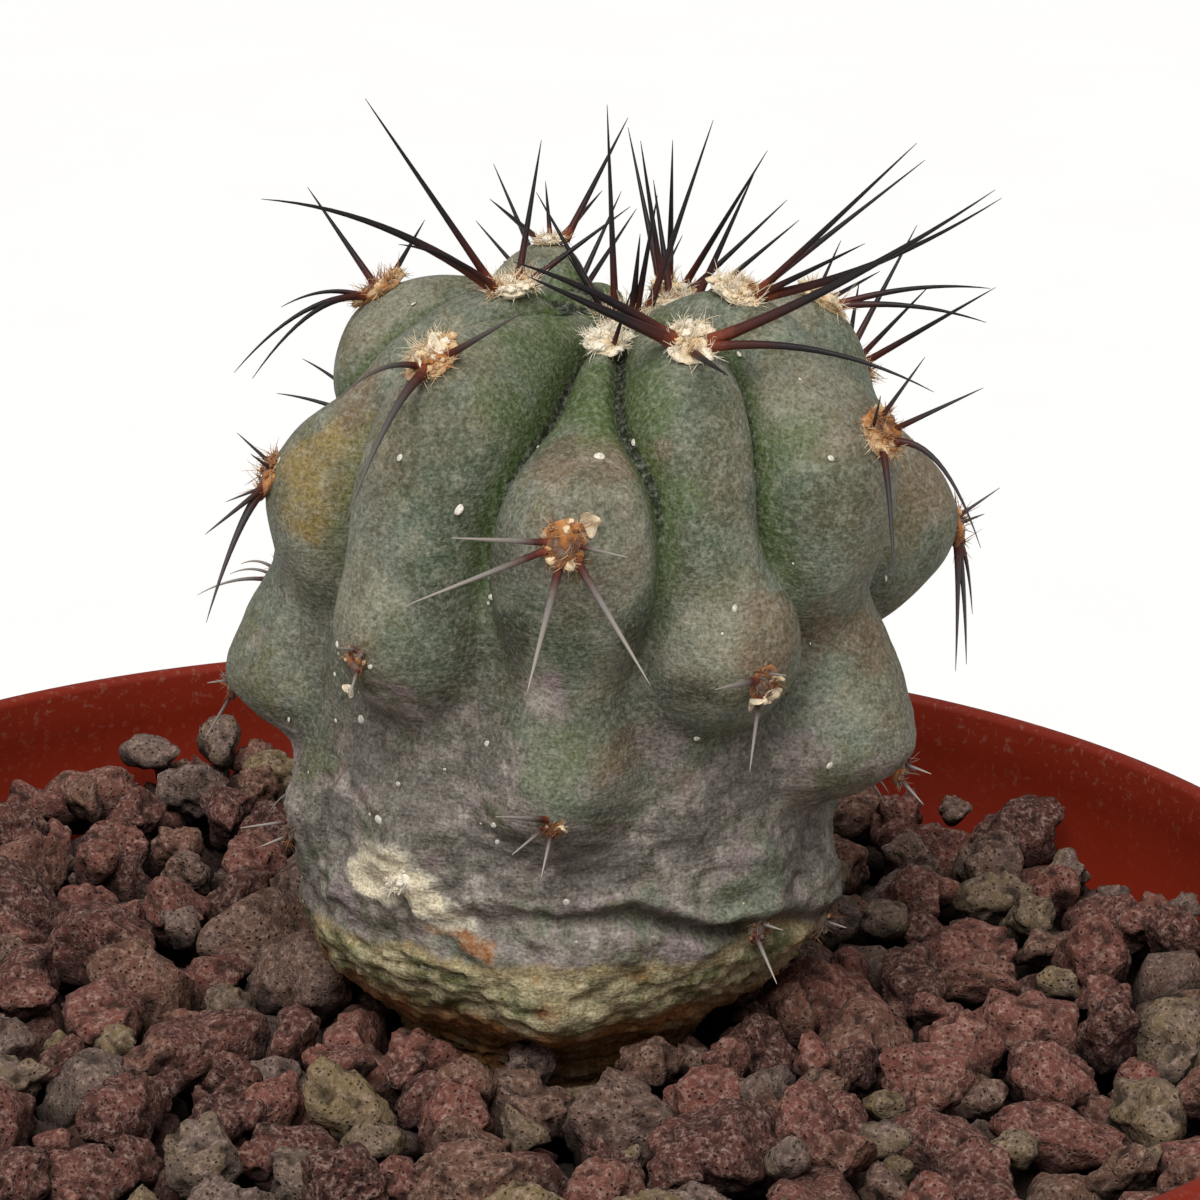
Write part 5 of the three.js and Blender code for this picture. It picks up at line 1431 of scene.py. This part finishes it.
def makeFloor():
    # painted board, matt, so it only carries a soft shadow
    mesh = bpy.data.meshes.new("floor")
    half = studio["floorHalf"]
    corners = [(-half, -half, 0), (half, -half, 0), (half, half, 0), (-half, half, 0)]
    mesh.from_pydata(corners, [], [(0, 1, 2, 3)])
    floor = bpy.data.objects.new("floor", mesh)
    bpy.context.scene.collection.objects.link(floor)
    material, tree, shader, place = newMaterial("paintedBoard")
    cloud = addNode(tree, "ShaderNodeTexNoise", {"Vector": place, "Scale": 1 / 40, "Detail": 3.0})
    colour = addNode(tree, "ShaderNodeValToRGB", {0: cloud}, stops=[
        (0.0, studio["floorShade"]), (1.0, studio["floor"])])
    fill(tree, shader, {"Base Color": colour, "Roughness": 0.8})
    mesh.materials.append(material)


def makeSun(place, angle, strength):
    # one wide soft light that reaches the whole floor evenly
    lamp = bpy.data.lights.new("sun", "SUN")
    lamp.angle, lamp.energy = math.radians(angle), strength
    holder = bpy.data.objects.new("sun", lamp)
    holder.location = Vector(place) * millimetre
    holder.rotation_euler = (-holder.location).to_track_quat("-Z", "Y").to_euler()
    bpy.context.scene.collection.objects.link(holder)


makeFloor()
makeSun(**studio["sun"])
world = bpy.data.worlds.new("studioWorld")
world.use_nodes = True
fill(world.node_tree, world.node_tree.nodes["Background"], {0: (1, 1, 1, 1), 1: studio["worldLight"]})
bpy.context.scene.world = world
bpy.context.scene.view_settings.view_transform = "Standard"

cameraPlace = {
    "target": (plantPlace["x"] + 2.35, plantPlace["y"], footZ + 23.4),
    "elevation": 17.5,
    "distance": 260,
    "roll": 1.3,
    "width": 1200 / 18.43,       # mm across the picture at the target
}


def makeCamera():
    lens = bpy.data.cameras.new("camera")
    camera = bpy.data.objects.new("camera", lens)
    bpy.context.scene.collection.objects.link(camera)
    tilt = math.radians(cameraPlace["elevation"])
    ahead = Vector((0, math.cos(tilt), -math.sin(tilt)))
    right = Vector((1, 0, 0))
    up = right.cross(ahead)
    roll = Matrix.Rotation(math.radians(cameraPlace["roll"]), 3, "Z")
    turned = Matrix((right, up, -ahead)).transposed() @ roll
    camera.location = (Vector(cameraPlace["target"]) - ahead * cameraPlace["distance"]) * millimetre
    camera.rotation_euler = turned.to_euler()
    lens.angle = 2 * math.atan(cameraPlace["width"] / 2 / cameraPlace["distance"])
    lens.clip_start, lens.clip_end = 0.01, 20
    bpy.context.scene.camera = camera


makeCamera()
print("studio made")
